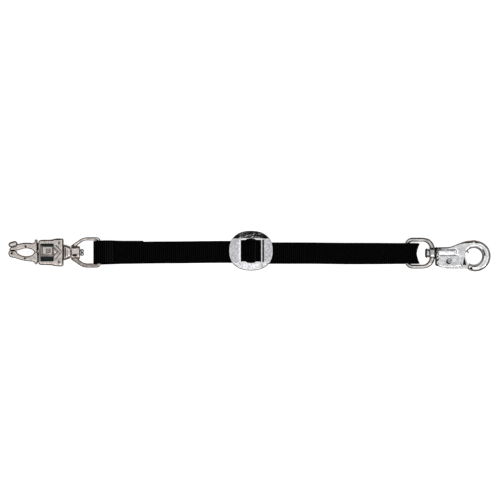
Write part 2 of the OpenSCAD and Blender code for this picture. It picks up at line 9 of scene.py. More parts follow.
import bpy
import numpy as np
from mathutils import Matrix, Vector


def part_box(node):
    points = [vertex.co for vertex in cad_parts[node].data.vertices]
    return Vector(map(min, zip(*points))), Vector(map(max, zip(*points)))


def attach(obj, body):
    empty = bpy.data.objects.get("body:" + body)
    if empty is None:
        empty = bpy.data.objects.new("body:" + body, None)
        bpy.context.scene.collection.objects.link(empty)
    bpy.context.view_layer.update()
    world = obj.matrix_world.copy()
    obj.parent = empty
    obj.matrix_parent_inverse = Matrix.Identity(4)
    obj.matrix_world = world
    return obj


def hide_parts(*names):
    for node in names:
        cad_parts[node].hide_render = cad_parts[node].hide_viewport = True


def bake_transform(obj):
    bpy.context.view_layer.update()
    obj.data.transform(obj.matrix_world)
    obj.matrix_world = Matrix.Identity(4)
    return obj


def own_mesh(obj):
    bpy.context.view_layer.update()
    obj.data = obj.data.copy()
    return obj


MM = 0.001
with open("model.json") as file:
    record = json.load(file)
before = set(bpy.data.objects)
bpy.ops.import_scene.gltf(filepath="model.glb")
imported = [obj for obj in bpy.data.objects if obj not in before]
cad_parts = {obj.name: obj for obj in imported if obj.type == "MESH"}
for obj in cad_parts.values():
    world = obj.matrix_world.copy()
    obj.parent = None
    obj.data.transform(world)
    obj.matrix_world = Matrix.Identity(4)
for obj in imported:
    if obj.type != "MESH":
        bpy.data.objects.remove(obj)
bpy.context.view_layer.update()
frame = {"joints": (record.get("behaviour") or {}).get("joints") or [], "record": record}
joints = {j["name"]: j for j in frame["joints"]}
mounts = {m["name"]: m for m in frame["record"]["mounts"]}


def joint_place(name):
    return np.array(joints[name]["pos_m"]) / MM


def node_box(name):
    low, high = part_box(name)
    return np.array(low) / MM, np.array(high) / MM


# ---- places, in millimetres ----

PANIC = joint_place("panic_eye_swing")  # bar of the panic snap's eye
PANIC_PIN = joint_place("panic_jaw_swing") - PANIC
BULL = joint_place("bull_eye_swing")  # bar of the bull snap's eye
RIVET = joint_place("bull_gate_swing") - BULL
HOOK = np.array(mounts["hook_eye"]["pos_m"]) / MM - BULL
HOOK_R = mounts["hook_eye"]["dims"]["r_mm"]
LEFT_BEND = joint_place("left_strap_bend")
RIGHT_BEND = joint_place("right_strap_bend")
slide_low, slide_high = node_box("slide_frame")
SLIDE = (slide_low + slide_high) / 2
bar_low, bar_high = node_box("slide_bar")
BAR = (bar_low + bar_high) / 2
BAR_R = (bar_high[2] - bar_low[2]) / 2

# Webbing
WEB_W = 25.4
WEB_T = 1.7
RIB = 2.3  # from one cross rib to the next
FOLD_L = 51
UPPER_Z = WEB_T + 0.05  # underside of the upper layer

# Grids of the castings
STEP = 0.34
FINE = STEP * 0.7


# ---- distance functions ----


def smooth(u):
    v = np.clip(u, 0, 1)
    return v * v * (3 - 2 * v)


either, both = np.minimum, np.maximum  # sharp union and intersection of two distances


def join(a, b, k):
    """Union of two distances with a fillet of about k."""
    h = np.clip(0.5 + 0.5 * (b - a) / k, 0, 1)
    return b * (1 - h) + a * h - k * h * (1 - h)


def common(a, b, k):
    """Intersection of two distances with a rounded edge of about k."""
    return -join(-a, -b, k)


def cut(a, b, k=0.3):
    return common(a, -b, k)


def box2(x, y, cx, cy, hx, hy, r=0.0):
    return slab(np.abs(x - cx) - hx, y - cy, hy, r)


def box3(x, y, z, centre, half, r=0.0):
    return slab(box2(x, y, centre[0], centre[1], half[0], half[1], r), z - centre[2], half[2], r)


def slab(d, z, half, r):
    """A flat outline at distance d, made 2 * half thick with its edges rounded to r."""
    q = d + r
    p = np.abs(z) - half + r
    return np.minimum(np.maximum(q, p), 0) + np.hypot(np.maximum(q, 0), np.maximum(p, 0)) - r


def between(x, x0, x1):
    return np.abs(x - (x0 + x1) / 2) - (x1 - x0) / 2


def rod_x(x, y, z, x0, x1, r, edge=0.4):
    return slab(np.hypot(y, z) - r, x - (x0 + x1) / 2, (x1 - x0) / 2, edge)


def cone_x(x, y, z, x0, x1, r0, r1, edge=0.4):
    slope = (r1 - r0) / (x1 - x0)
    wall = (np.hypot(y, z) - r0 - slope * (x - x0)) / np.hypot(1, slope)
    return common(wall, between(x, x0, x1), edge)


def ball(x, y, z, centre, r):
    return np.sqrt((x - centre[0]) ** 2 + (y - centre[1]) ** 2 + (z - centre[2]) ** 2) - r


def away(x, y, place):
    """Distance from a place, seen along Z."""
    return np.hypot(x - place[0], y - place[1])


def line2(x, y, points):
    """Distance to a line through the points."""
    best = None
    for (ax, ay), (bx, by) in zip(points[:-1], points[1:]):
        dx, dy = bx - ax, by - ay
        square = max(dx * dx + dy * dy, 1e-9)
        t = np.clip(((x - ax) * dx + (y - ay) * dy) / square, 0, 1)
        d = np.hypot(x - ax - t * dx, y - ay - t * dy)
        best = d if best is None else np.minimum(best, d)
    return best


def polygon2(x, y, points):
    """Signed distance to a closed outline."""
    ring = list(points) + [points[0]]
    inside = np.zeros(np.broadcast(x, y).shape, bool)
    for (ax, ay), (bx, by) in zip(ring[:-1], ring[1:]):
        if ay == by:
            continue
        crosses = ((ay > y) != (by > y)) & (x < (bx - ax) * (y - ay) / (by - ay) + ax)
        inside = inside ^ crosses
    return np.where(inside, -1, 1) * line2(x, y, ring)


def arc(cx, cy, r, a0, a1, n=10):
    angles = np.radians(np.linspace(a0, a1, n + 1))
    return [(cx + r * np.cos(a), cy + r * np.sin(a)) for a in angles]


def turned(x, y, degrees):
    """The point seen from a piece that is turned by so much about the origin."""
    c, s = np.cos(np.radians(degrees)), np.sin(np.radians(degrees))
    return x * c + y * s, y * c - x * s


# ---- meshes ----


def surface_net(distance, low, high, step):
    """Points and quads on the zero level of a distance function, on a grid from low to high."""
    axes = [np.arange(a - 2 * step, b + 3 * step, step) for a, b in zip(low, high)]
    grid = np.meshgrid(*axes, indexing="ij", sparse=True)
    value = np.array(np.broadcast_to(distance(*grid), [len(a) for a in axes]))
    inside = value < 0
    corners = [np.array([i, j, k]) for i in (0, 1) for j in (0, 1) for k in (0, 1)]
    size = np.array(value.shape) - 1

    def at_corner(field, c):
        return field[c[0]:size[0] + c[0], c[1]:size[1] + c[1], c[2]:size[2] + c[2]]

    count = sum(at_corner(inside, c).astype(np.int8) for c in corners)
    active = (count > 0) & (count < 8)
    cells = np.argwhere(active)
    index = np.full(active.shape, -1, np.int64)
    index[active] = np.arange(len(cells))
    total = np.zeros((len(cells), 3))
    hits = np.zeros(len(cells))
    for c in corners:
        for axis in range(3):
            if c[axis]:
                continue
            e = c.copy()
            e[axis] = 1
            a = value[tuple((cells + c).T)]
            b = value[tuple((cells + e).T)]
            crossed = (a < 0) != (b < 0)
            t = np.where(crossed, a / np.where(crossed, a - b, 1), 0)
            total += crossed[:, None] * (c + t[:, None] * (e - c))
            hits += crossed
    start = np.array([a[0] for a in axes])
    points = start + (cells + total / hits[:, None]) * step
    quads = []
    for axis in range(3):
        u, v = np.eye(3, dtype=int)[(axis + 1) % 3], np.eye(3, dtype=int)[(axis + 2) % 3]
        here = [slice(1, n) for n in size]
        there = list(here)
        there[axis] = slice(2, size[axis] + 1)
        change = inside[tuple(here)] != inside[tuple(there)]
        p = np.argwhere(change) + 1
        quad = np.stack([index[tuple(q.T)] for q in (p - u - v, p - v, p, p - u)], axis=1)
        outward = inside[tuple(p.T)]
        quads.append(np.where(outward[:, None], quad, quad[:, ::-1]))
    return points, np.concatenate(quads)


def slope_at(points, distance, h):
    x, y, z = points.T
    return np.stack([
        distance(x + h, y, z) - distance(x - h, y, z),
        distance(x, y + h, z) - distance(x, y - h, z),
        distance(x, y, z + h) - distance(x, y, z - h),
    ], axis=1) / (2 * h)


def settle(points, distance, step):
    """Moves the points onto the surface along its slope."""
    for _ in range(2):
        slope = slope_at(points, distance, step * 0.25)
        square = np.maximum((slope ** 2).sum(1), 0.25)
        move = -(distance(*points.T) / square)[:, None] * slope
        points = points + np.clip(move, -0.5 * step, 0.5 * step)
    return points


def recess(points, distance):
    """How hollow the surface is, from 0 in the open to 1: little free space in front of it. It sets how
    much shade is painted into the plating's colour there.
    """
    slope = slope_at(points, distance, 0.1)
    out = slope / np.maximum(np.linalg.norm(slope, axis=1), 1e-6)[:, None]
    free = [np.clip(distance(*(points + reach * out).T) / reach, 0, 1) for reach in (0.7, 1.8)]
    return 1 - (free[0] + free[1]) / 2


def new_object(name, data, place=(0, 0, 0)):
    obj = bpy.data.objects.new(name, data)
    obj.location = place
    bpy.context.scene.collection.objects.link(obj)
    return obj


def mesh_object(name, points, faces):
    """A smooth-shaded object; points in millimetres in the part's frame."""
    mesh = bpy.data.meshes.new(name)
    mesh.from_pydata((np.asarray(points) * MM).tolist(), [], [list(f) for f in faces])
    mesh.update()
    mesh.shade_smooth()
    return new_object(name, mesh)


def store(obj, name, kind, field, values):
    """Keeps a value at every point of the mesh, for its material."""
    attribute = obj.data.attributes.new(name, kind, "POINT")
    attribute.data.foreach_set(field, values.astype(np.float32).ravel())


def casting(name, distance, low, high, origin, step, extra_painted_shade):
    """A piece from its distance function, drawn about origin, with shade painted into its colour where
    it is hollow; the last argument darkens some of its surface with more painted shade, painted
    reflections and other dark patches.
    """
    points, quads = surface_net(distance, low, high, step)
    points = settle(points, distance, step)
    obj = mesh_object(name, points + origin, quads.tolist())
    # Painted shade: the hollower the surface, the darker its colour; the extra function adds more
    # painted shade and painted reflections
    dark = recess(points, distance)
    if extra_painted_shade:
        dark = np.maximum(dark, extra_painted_shade(*points.T))
    store(obj, "recess", "FLOAT", "value", dark)
    return obj


def tubes(name, paths, r, sides=10):
    """Round wires or threads along paths of points, all in one object."""
    points, faces = [], []
    for path in paths:
        path = np.asarray(path, float)
        along = np.gradient(path, axis=0)
        along /= np.linalg.norm(along, axis=1)[:, None]
        up = np.array([0.13, 0.07, 1.0]) if abs(along[0][2]) < 0.7 else np.array([1.0, 0.1, 0.05])
        for i, (p, t) in enumerate(zip(path, along)):
            side = np.cross(t, up)
            side /= np.linalg.norm(side)
            other = np.cross(side, t)
            up = other
            angles = 2 * np.pi * np.arange(sides) / sides
            ring = p + r * (np.cos(angles)[:, None] * side + np.sin(angles)[:, None] * other)
            first = len(points)
            points.extend(ring)
            if i:
                for k in range(sides):
                    n = (k + 1) % sides
                    faces.append((first - sides + k, first + k, first + n, first - sides + n))
        first = len(points) - sides * len(path)
        faces.append(tuple(range(first, first + sides)))
        faces.append(tuple(range(len(points) - 1, len(points) - 1 - sides, -1)))
    return mesh_object(name, points, faces)


# ---- materials ----

# Dark teal that the painted shade and painted reflections of the plating blend towards
PAINTED_SHADE_TEAL = (0.020, 0.026, 0.028)
# Nylon's base colour, and the painted highlight colour on the crests of its ribs and yarns
NYLON_DARK, NYLON_HIGHLIGHT = (0.0001, 0.0001, 0.00012), (0.021, 0.019, 0.018)
THREAD_DARK, THREAD_LIGHT = (0.006, 0.0057, 0.0054), (0.040, 0.038, 0.036)
FINE_SCALE = 900.0  # pits in the plate, and the thread's twist
YARN = 0.85  # width of a lengthwise yarn


def set_inputs(node, **values):
    """Sets the node's inputs, each by its name with underscores for spaces."""
    for name, value in values.items():
        node.inputs[name.replace("_", " ")].default_value = value


def link(output, socket):
    output.id_data.links.new(output, socket)


def material(name):
    """A new material with its nodes and its shader."""
    m = bpy.data.materials.new(name)
    m.use_nodes = True
    return m, m.node_tree.nodes, m.node_tree.nodes["Principled BSDF"]


def stored(nodes, name):
    node = nodes.new("ShaderNodeAttribute")
    node.attribute_name = name
    return node.outputs


def calc(nodes, operation, a, b=None):
    """The result of an operation on two values, each a number or a node's output."""
    node = nodes.new("ShaderNodeMath")
    node.operation = operation
    for socket, value in zip(node.inputs, (a, b)):
        if isinstance(value, (int, float)):
            socket.default_value = value
        elif value is not None:
            link(value, socket)
    return node.outputs["Value"]


def ramp(nodes, source, low, high, start=0.0, end=1.0):
    """Maps a value that runs from start to end onto low to high."""
    node = nodes.new("ShaderNodeMapRange")
    set_inputs(node, From_Min=start, From_Max=end, To_Min=low, To_Max=high)
    link(source, node.inputs["Value"])
    return node.outputs["Result"]


def two_colours(nodes, source, first, second, start=0.0, end=1.0):
    """The first colour where the source is at start or less, the second at end or more."""
    node = nodes.new("ShaderNodeValToRGB")
    for stop, place, colour in zip(node.color_ramp.elements, (start, end), (first, second)):
        stop.position = place
        stop.color = (*colour, 1)
    link(source, node.inputs["Fac"])
    return node.outputs["Color"]


def noise(nodes, coordinates, scale, detail):
    node = nodes.new("ShaderNodeTexNoise")
    set_inputs(node, Scale=scale, Detail=detail)
    link(coordinates, node.inputs["Vector"])
    return node.outputs["Fac"]


def bump(nodes, height, distance, strength, below=None):
    node = nodes.new("ShaderNodeBump")
    set_inputs(node, Distance=distance, Strength=strength)
    link(height, node.inputs["Height"])
    if below is not None:
        link(below, node.inputs["Normal"])
    return node.outputs["Normal"]


def plated(name, low_rough, high_rough, ripple, tint, scale=170.0, mottle=0.78):
    """Polished plate over a casting: ripples, fine pits, uneven polish, and painted shade and painted
    reflections that darken its colour towards a dark teal.
    """
    m, nodes, shader = material(name)
    place = nodes.new("ShaderNodeTexCoord").outputs["Object"]
    slow = noise(nodes, place, scale, 2.0)
    fine = noise(nodes, place, FINE_SCALE, 4.0)
    set_inputs(shader, Metallic=1.0)
    polish = ramp(nodes, fine, low_rough, high_rough, 0.35, 0.65)
    link(polish, shader.inputs["Roughness"])
    dull = [c * mottle for c in tint]
    # Painted shade and reflections: the darkness stored at each point blends the plate's colour towards
    # the dark teal
    blend = nodes.new("ShaderNodeMix")
    blend.data_type = "RGBA"
    blend.inputs["B"].default_value = (*PAINTED_SHADE_TEAL, 1)
    hollow = ramp(nodes, stored(nodes, "recess")["Fac"], 0.0, 1.0, 0.12, 0.62)
    link(hollow, blend.inputs["Factor"])
    link(two_colours(nodes, slow, dull, tint, 0.3, 0.62), blend.inputs["A"])
    link(blend.outputs["Result"], shader.inputs["Base Color"])
    wavy = bump(nodes, slow, 0.2 / scale, ripple)
    link(bump(nodes, fine, 0.0001, 0.25, wavy), shader.inputs["Normal"])
    return m


def woven():
    """Black nylon webbing: lengthwise yarns over ribs, from the strap's own coordinates, with painted
    highlights on their crests.
    """
    m, nodes, shader = material("woven_nylon")
    place = stored(nodes, "weave")["Vector"]
    parts = nodes.new("ShaderNodeSeparateXYZ")
    link(place, parts.inputs["Vector"])

    def times(a, b):
        return calc(nodes, "MULTIPLY", a, b)

    def hump(value):
        """Humps one unit apart."""
        return calc(nodes, "ABSOLUTE", calc(nodes, "SINE", times(value, np.pi)))

    along = calc(nodes, "DIVIDE", parts.outputs["X"], RIB)
    across = calc(nodes, "DIVIDE", parts.outputs["Y"], YARN)
    shift = times(calc(nodes, "FLOOR", along), 0.5)
    yarn = hump(calc(nodes, "ADD", across, shift))
    rib = hump(along)
    height = calc(nodes, "ADD", times(rib, 0.5), times(times(yarn, rib), 0.5))
    fuzz = noise(nodes, place, 2.2, 4.0)
    # Painted highlight: the colour is lighter on the crests of the ribs and yarns and darkest between
    # them, patchy by noise
    painted_crest_highlight = calc(nodes, "POWER", height, 4.0)
    shade = times(painted_crest_highlight, ramp(nodes, fuzz, 0.15, 1.9, 0.3, 0.7))
    colour = two_colours(nodes, shade, NYLON_DARK, NYLON_HIGHLIGHT, 0.15)
    link(colour, shader.inputs["Base Color"])
    link(ramp(nodes, fuzz, 0.5, 0.75, 0.3, 0.7), shader.inputs["Roughness"])
    set_inputs(shader, Specular_IOR_Level=0.004)
    ribs = bump(nodes, height, 0.00028, 0.7)
    link(bump(nodes, fuzz, 0.00006, 0.4, ribs), shader.inputs["Normal"])
    return m


def sewing_thread():
    m, nodes, shader = material("sewing_thread")
    twist = nodes.new("ShaderNodeTexWave")
    twist.bands_direction = "DIAGONAL"
    set_inputs(twist, Scale=FINE_SCALE)
    link(nodes.new("ShaderNodeTexCoord").outputs["Object"], twist.inputs["Vector"])
    colour = two_colours(nodes, twist.outputs["Fac"], THREAD_DARK, THREAD_LIGHT)
    link(colour, shader.inputs["Base Color"])
    set_inputs(shader, Roughness=0.6, Specular_IOR_Level=0.1)
    link(bump(nodes, twist.outputs["Fac"], 0.0001, 0.5), shader.inputs["Normal"])
    return m


# Each look is a material and its slot
CHROME = plated("plated_casting", 0.06, 0.18, 0.20, (0.97, 0.97, 0.97)), "chrome_casting"
SATIN = plated("satin_casting", 0.06, 0.18, 0.35, (0.64, 0.62, 0.59), 210.0, 0.60), "chrome_casting"
WORN = plated("worn_plated_casting", 0.06, 0.20, 0.70, (0.78, 0.71, 0.66), 230.0, 0.60), "chrome_casting"
SLIDE_PLATE = plated("plated_sheet", 0.05, 0.14, 0.60, (0.85, 0.85, 0.87), 330.0, 0.7), "chrome_casting"
STEEL = plated("bright_steel", 0.16, 0.32, 0.20, (0.66, 0.66, 0.67)), "steel_wire"
NYLON = woven(), "nylon_webbing"
THREAD = sewing_thread(), "thread"


def finish_piece(obj, look, node, body=None):
    """Gives a piece its look, hides the CAD node that it stands for, and hangs it on the body that it
    rides on.
    """
    surface, slot = look
    obj.data.materials.append(surface)
    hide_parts(node)
    if body:
        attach(obj, body)


def cast_piece(name, distance, low, high, origin, look, node, body, extra_painted_shade=None, step=STEP):
    """A casting with its look, in the box from low to high about origin."""
    finish_piece(casting(name, distance, low, high, origin, step, extra_painted_shade), look, node, body)


# ---- panic snap, about the bar of its eye ----

sleeve_low, sleeve_high = node_box("panic_sleeve")
SLEEVE_X0, SLEEVE_X1 = sleeve_low[0] - PANIC[0], sleeve_high[0] - PANIC[0]
SLEEVE_HALF_Z = (sleeve_high[2] - sleeve_low[2]) / 2
JAW_TIP_X, FOOT_X = -104.5, -71.9
JAW_EYE = (-83.7, 0.2)  # middle of the opening between the jaws
JAW_EYE_HALF_L, JAW_EYE_HALF_W = 11.2, 4.5
JAW_HALF_Z = 4.3
JAWS_TOP_Y, JAWS_TOP_R = 11.3, 34  # round back of the moving jaw
JAWS_LOW_Y, JAWS_LOW_R = -10.6, 60  # round back of the fixed jaw
DENTS = ((JAW_EYE[0] - 0.6, 6.8), (JAW_EYE[0] - 1.5, -6.6))
TIP_PIT = (-100.4, -1.0)
THUMB = [(-101.3, 9.0), (-97.0, 10.2)]
PIN_R = 1.6
STUD_R = 2.6
BLOCK_HALF_Z = 6.2  # block that holds the jaw's pin

# Flat boxes: middle x and y, half sizes and corner radius
UPPER_FOOT = (FOOT_X - 0.5, 7.7, 1.6, 7.3, 0.9)
LOWER_FOOT = (FOOT_X - 0.5, -6.8, 1.6, 7.1, 0.9)
LOWER_ROOT = (-68.0, -5.6, 6.0, 5.6, 0.8)
SHANK_LOWER, SHANK_UPPER = (-64.6, -4.1, 5.0, 7.5, 0.5), (-64.0, 4.5, 4.4, 4.5, 0.5)
# The same on the sleeve's faces, from its front end
PANEL = (10.0, 0, 7.7, 10.1, 0.8)
PAD = (10.6, 2.0, 5.6, 4.6, 0.5)
PAD_HOLLOW = (11.2, 2.0, 2.6, 2.4, 0.3)
CHEVRON_TIP = (25.4, 1.0)


def jaw_half_z(x):
    return JAW_HALF_Z - 0.9 * np.clip((JAW_EYE[0] - x) / (JAW_EYE[0] - JAW_TIP_X), 0, 1)


def jaws_outline(x, y):
    upper = away(x, y, (JAW_EYE[0] + 0.5, JAWS_TOP_Y - JAWS_TOP_R)) - JAWS_TOP_R
    lower = away(x, y, (JAW_EYE[0] + 8.9, JAWS_LOW_Y + JAWS_LOW_R)) - JAWS_LOW_R
    return common(common(upper, lower, 5), between(x, JAW_TIP_X, FOOT_X), 4)


def jaws_eye(x, y):
    r = (JAW_EYE_HALF_L ** 2 + JAW_EYE_HALF_W ** 2) / (2 * JAW_EYE_HALF_W)
    above = away(x, y, (JAW_EYE[0], JAW_EYE[1] + r - JAW_EYE_HALF_W)) - r
    below = away(x, y, (JAW_EYE[0], JAW_EYE[1] - r + JAW_EYE_HALF_W)) - r
    return both(above, below)


def parting_y(x):
    """Where the jaws meet: higher at the tips than at the foot."""
    return 0.6 + 1.4 * np.clip((FOOT_X - 3 - x) / 9, 0, 1)


def jaw_outline(x, y, side, foot):
    """One jaw with its foot: side is 1 for the moving jaw above, -1 for the fixed one."""
    arm = common(jaws_outline(x, y), -jaws_eye(x, y), 1.2)
    arm = common(arm, side * (parting_y(x) - y) + 0.15, 2.2)
    return join(arm, box2(x, y, *foot), 3.5)


def diamond_dent(x, y, z, cx, cy):
    """A small four-sided pit in both faces of a jaw."""
    wall = (np.abs(x - cx) + np.abs(y - cy) - 1.5) * 0.7
    return both(wall, JAW_HALF_Z - 1.6 - np.abs(z) + wall * 0.6)


def jaw_painted_shade(x, y, z):
    """Painted shade: dark in the dents, a dark line where the jaw tips meet, dark in the tip's pit, and
    a dark gap before the sleeve.
    """
    dents = [1.4 - np.abs(x - cx) - np.abs(y - cy) for cx, cy in DENTS]
    tips = 1.5 - np.abs(y - parting_y(x)) - 2 * smooth((x + 93) / 2) - 2 * smooth((-102.4 - x) / 1)
    pit = 1.6 - away(x, y, TIP_PIT)
    rear = 1.5 * smooth((x - FOOT_X - 0.6) / 0.7)
    return 0.85 * np.clip(np.maximum.reduce([*dents, tips, pit, rear]), 0, 1)


def thumb_painted_shade(x, y, z):
    """The jaw's painted shade, and a painted shadow line under its thumb piece."""
    under = 0.9 - np.abs(line2(x, y, THUMB) - 3.5) - 3 * (y > 8.2) - 3 * (x < -101)
    return np.maximum(jaw_painted_shade(x, y, z), 0.85 * np.clip(under, 0, 1))


def panic_jaw(x, y, z):
    pin_x, pin_y = PANIC_PIN[:2]
    body = slab(jaw_outline(x, y, 1, UPPER_FOOT), z, jaw_half_z(x), 2.2)
    body = join(body, np.hypot(line2(x, y, THUMB), z) - 3.1, 0.5)
    body = cut(body, diamond_dent(x, y, z, *DENTS[0]))
    knuckle = line2(x, y, [(FOOT_X - 1, 6.6), (pin_x, pin_y)]) - 3.9
    body = join(body, slab(knuckle, z, 3.0, 0.4), 0.6)
    body = both(body, x - pin_x - 3.9)
    return cut(body, away(x, y, PANIC_PIN) - PIN_R - 0.05, 0.2)


def panic_body(x, y, z):
    pin_x, pin_y = PANIC_PIN[:2]
    tip = away(x, y, (-100.0, -1.9)) - 4.0
    flat = join(jaw_outline(x, y, -1, LOWER_FOOT), tip, 2)
    body = slab(either(flat, box2(x, y, *LOWER_ROOT)), z, jaw_half_z(x), 2.2)
    body = cut(body, diamond_dent(x, y, z, *DENTS[1]))
    body = cut(body, ball(x, y, np.abs(z), (*TIP_PIT, 4.0), 1.5), 0.3)
    block = either(box2(x, y, *SHANK_LOWER), box2(x, y, *SHANK_UPPER))
    block = join(block, away(x, y, PANIC_PIN) - 4.2, 0.5)
    body = join(body, slab(block, z, BLOCK_HALF_Z, 0.7), 0.6)
    body = join(body, rod_x(x, y, z, -60.6, -40, 4.5), 0.8)
    # neck behind the sleeve, with a line round it
    collar = rod_x(x, y, z, -41.0, -38.4, 8.9, 0.7)
    neck = join(collar, cone_x(x, y, z, -39.0, -32.5, 9.0, 6.5, 0.8), 0.3)
    neck = common(neck, np.abs(z) - 5.6, 2.2)
    line = np.hypot(x + 36.6 - 0.03 * y * y, np.abs(z) - 5.7) - 0.5
    body = join(body, cut(neck, line), 0.5)
    # slot for the moving jaw's knuckle, and the stud's bore
    slot = either(away(x, y, PANIC_PIN) - 4.5, box2(x, y, pin_x - 5, 10.4, 5, 10))
    slot = either(slot, box2(x, y, pin_x + 2, pin_y + 4, 3, 4))
    body = cut(body, slab(slot, z, 3.3, 0.3), 0.2)
    return cut(body, rod_x(x, y, z, -39.5, -30, STUD_R + 0.1), 0.3)


def panic_body_painted_shade(x, y, z):
    # Painted shade of the jaws, kept to the front of the body
    return jaw_painted_shade(x, y, z) * (1 - smooth((x + 58) / 2))


def sleeve_half_y(x):
    """Half width of the waisted sleeve."""
    u = x - SLEEVE_X0
    waist = 14.1 + 0.6 * smooth(u / 6)
    flare = 1.5 * smooth((u - 13) / 9)
    return waist + flare


def vee(u, y, end, tip, half_w, r):
    """A stroke along the chevron: end and tip are its places beyond the chevron's tip."""
    tip_x, tip_y = CHEVRON_TIP
    ends = [(tip_x + end, tip_y + half_w), (tip_x + tip, tip_y), (tip_x + end, tip_y - half_w)]
    return line2(u, y, ends) - r


def panic_sleeve(x, y, z):
    u = x - SLEEVE_X0
    flat = common(np.abs(y) - sleeve_half_y(x), between(x, SLEEVE_X0, SLEEVE_X1), 2.4)
    body = slab(flat, z, SLEEVE_HALF_Z - 0.5 * (1 - smooth(-flat / 3.2)), 2.0)
    depth = SLEEVE_HALF_Z - np.abs(z)
    # recessed panel on both faces, with a raised frame in it
    panel, pad, hollow = (box2(u, y, *box) for box in (PANEL, PAD, PAD_HOLLOW))
    raised = both(pad, -hollow)
    body = cut(body, both(both(panel, -raised), depth - 1.0), 0.35)
    body = cut(body, both(pad, depth - 0.35), 0.2)
    # chevron ridge behind the panel, between two grooves
    ridge = vee(u, y, -7, 0, 6.4, 0.75)
    near, far = vee(u, y, -8.6, -2.9, 5.4, 0.7), vee(u, y, -5.2, 1.6, 7.4, 0.35)
    for groove, deep in ((near, 0.8), (far, 0.5)):
        body = cut(body, both(both(groove, -ridge), depth - deep), 0.3)
    # three-cornered dents in the flange
    for side in (-1, 1):
        corners = [(a, side * (10.8 + b)) for a, b in ((22.9, -1.8), (25.4, 0), (22.9, 1.8))]
        dent = polygon2(u, y, corners)
        body = cut(body, both(dent, depth - 0.9 - dent * 0.4), 0.25)
    # ring line in front of the flange, round the outside
    ring = np.hypot(u - 21.6, np.maximum(np.abs(y) - sleeve_half_y(x), -2)) - 0.45
    body = cut(body, both(ring, 0.5 - depth), 0.3)
    # room for the jaws' feet, the spring, the neck and the shank
    body = cut(body, box3(x, y, z, (SLEEVE_X0 + 4.5, 0, 0), (6.0, 12, 6.6), 0.6), 0.3)
    body = cut(body, rod_x(x, y, z, -56.6, SLEEVE_X1 + 3, 7.7), 0.3)
    body = cut(body, rod_x(x, y, z, SLEEVE_X1 - 9.2, SLEEVE_X1 + 3, 9.3), 0.4)
    return cut(body, rod_x(x, y, z, -63, -50, 4.8), 0.3)


def sleeve_painted_shade(x, y, z):
    """Painted shade and painted dark reflection on the floor of the sleeve's recessed panel, darkest
    along its lower and upper edges.
    """
    inside = smooth(0.5 - box2(x - SLEEVE_X0, y, *PANEL) / 0.8)
    depth = SLEEVE_HALF_Z - np.abs(z)
    edges = 0.35 * smooth((-4.0 - y) / 1.5) + 0.3 * smooth((y - 6.7) / 1.0)
    return (0.38 + edges) * inside * smooth((depth - 0.6) / 0.4) * (depth < 2)


BOSS_X0, BOSS_X1 = -32.0, -21.8
BOSS_R = 7.2
ARM_Y = 15.7
PANIC_WIRE_R = 1.9
STUD_X0 = -39.4


def panic_eye(x, y, z):
    bend, sweep, corner = 15, 35, 2.8
    bend_x, leg = -13, 10.6  # start of the wide bend, and the run after it
    side = [(0, 0), (0, ARM_Y - corner)]
    side += arc(-corner, ARM_Y - corner, corner, 0, 90, 8)
    side += arc(bend_x, ARM_Y - bend, bend, 90, 90 + sweep, 12)
    last = side[-1]
    along = np.radians(180 + sweep)
    side += [(last[0] + leg * np.cos(along), last[1] + leg * np.sin(along))]
    thicker = 0.6 * smooth(-y / 4)
    spine = line2(x, np.abs(y) + thicker, side)
    wire = np.hypot(spine, z) - PANIC_WIRE_R - thicker
    # seam along the lower arm
    wire = cut(wire, both(np.hypot(spine, np.abs(z) - 2.6) - 0.6, y + 8))
    boss = common(rod_x(x, y, z, BOSS_X0, BOSS_X1, BOSS_R, 1.0), np.abs(z) - 5.0, 2.4)
    body = join(boss, wire, 2.2)
    body = both(body, BOSS_X0 - x)
    return cut(body, rod_x(x, y, z, BOSS_X0 - 5, BOSS_X1 + 5, STUD_R + 0.05), 0.3)


def eye_dark_patch(x, y, z):
    """A dark patch on the boss."""
    patch = smooth(1.6 - np.hypot((x - BOSS_X0 - 4.2) / 2.6, (y + 3.2) / 1.5))
    return 0.8 * patch * (x > BOSS_X0 + 0.8) * (x < BOSS_X1 - 0.8)


def panic_rivet(x, y, z):
    stud = rod_x(x, y, z, STUD_X0, BOSS_X1 + 1, STUD_R, 0.2)
    lobes = ball(x, np.abs(y), z, (BOSS_X1 + 2.3, 1.8, 0), 2.25)
    collar = rod_x(x, y, z, BOSS_X1 + 0.1, BOSS_X1 + 1.4, 3.6, 0.5)
    return join(join(stud, lobes, 0.2), collar, 0.2)


def panic_pin(x, y, z):
    d = slab(away(x, y, PANIC_PIN) - PIN_R, z, BLOCK_HALF_Z, 0.3)
    return cut(d, ball(x, y, np.abs(z), (*PANIC_PIN[:2], BLOCK_HALF_Z + 0.6), 1.1), 0.2)


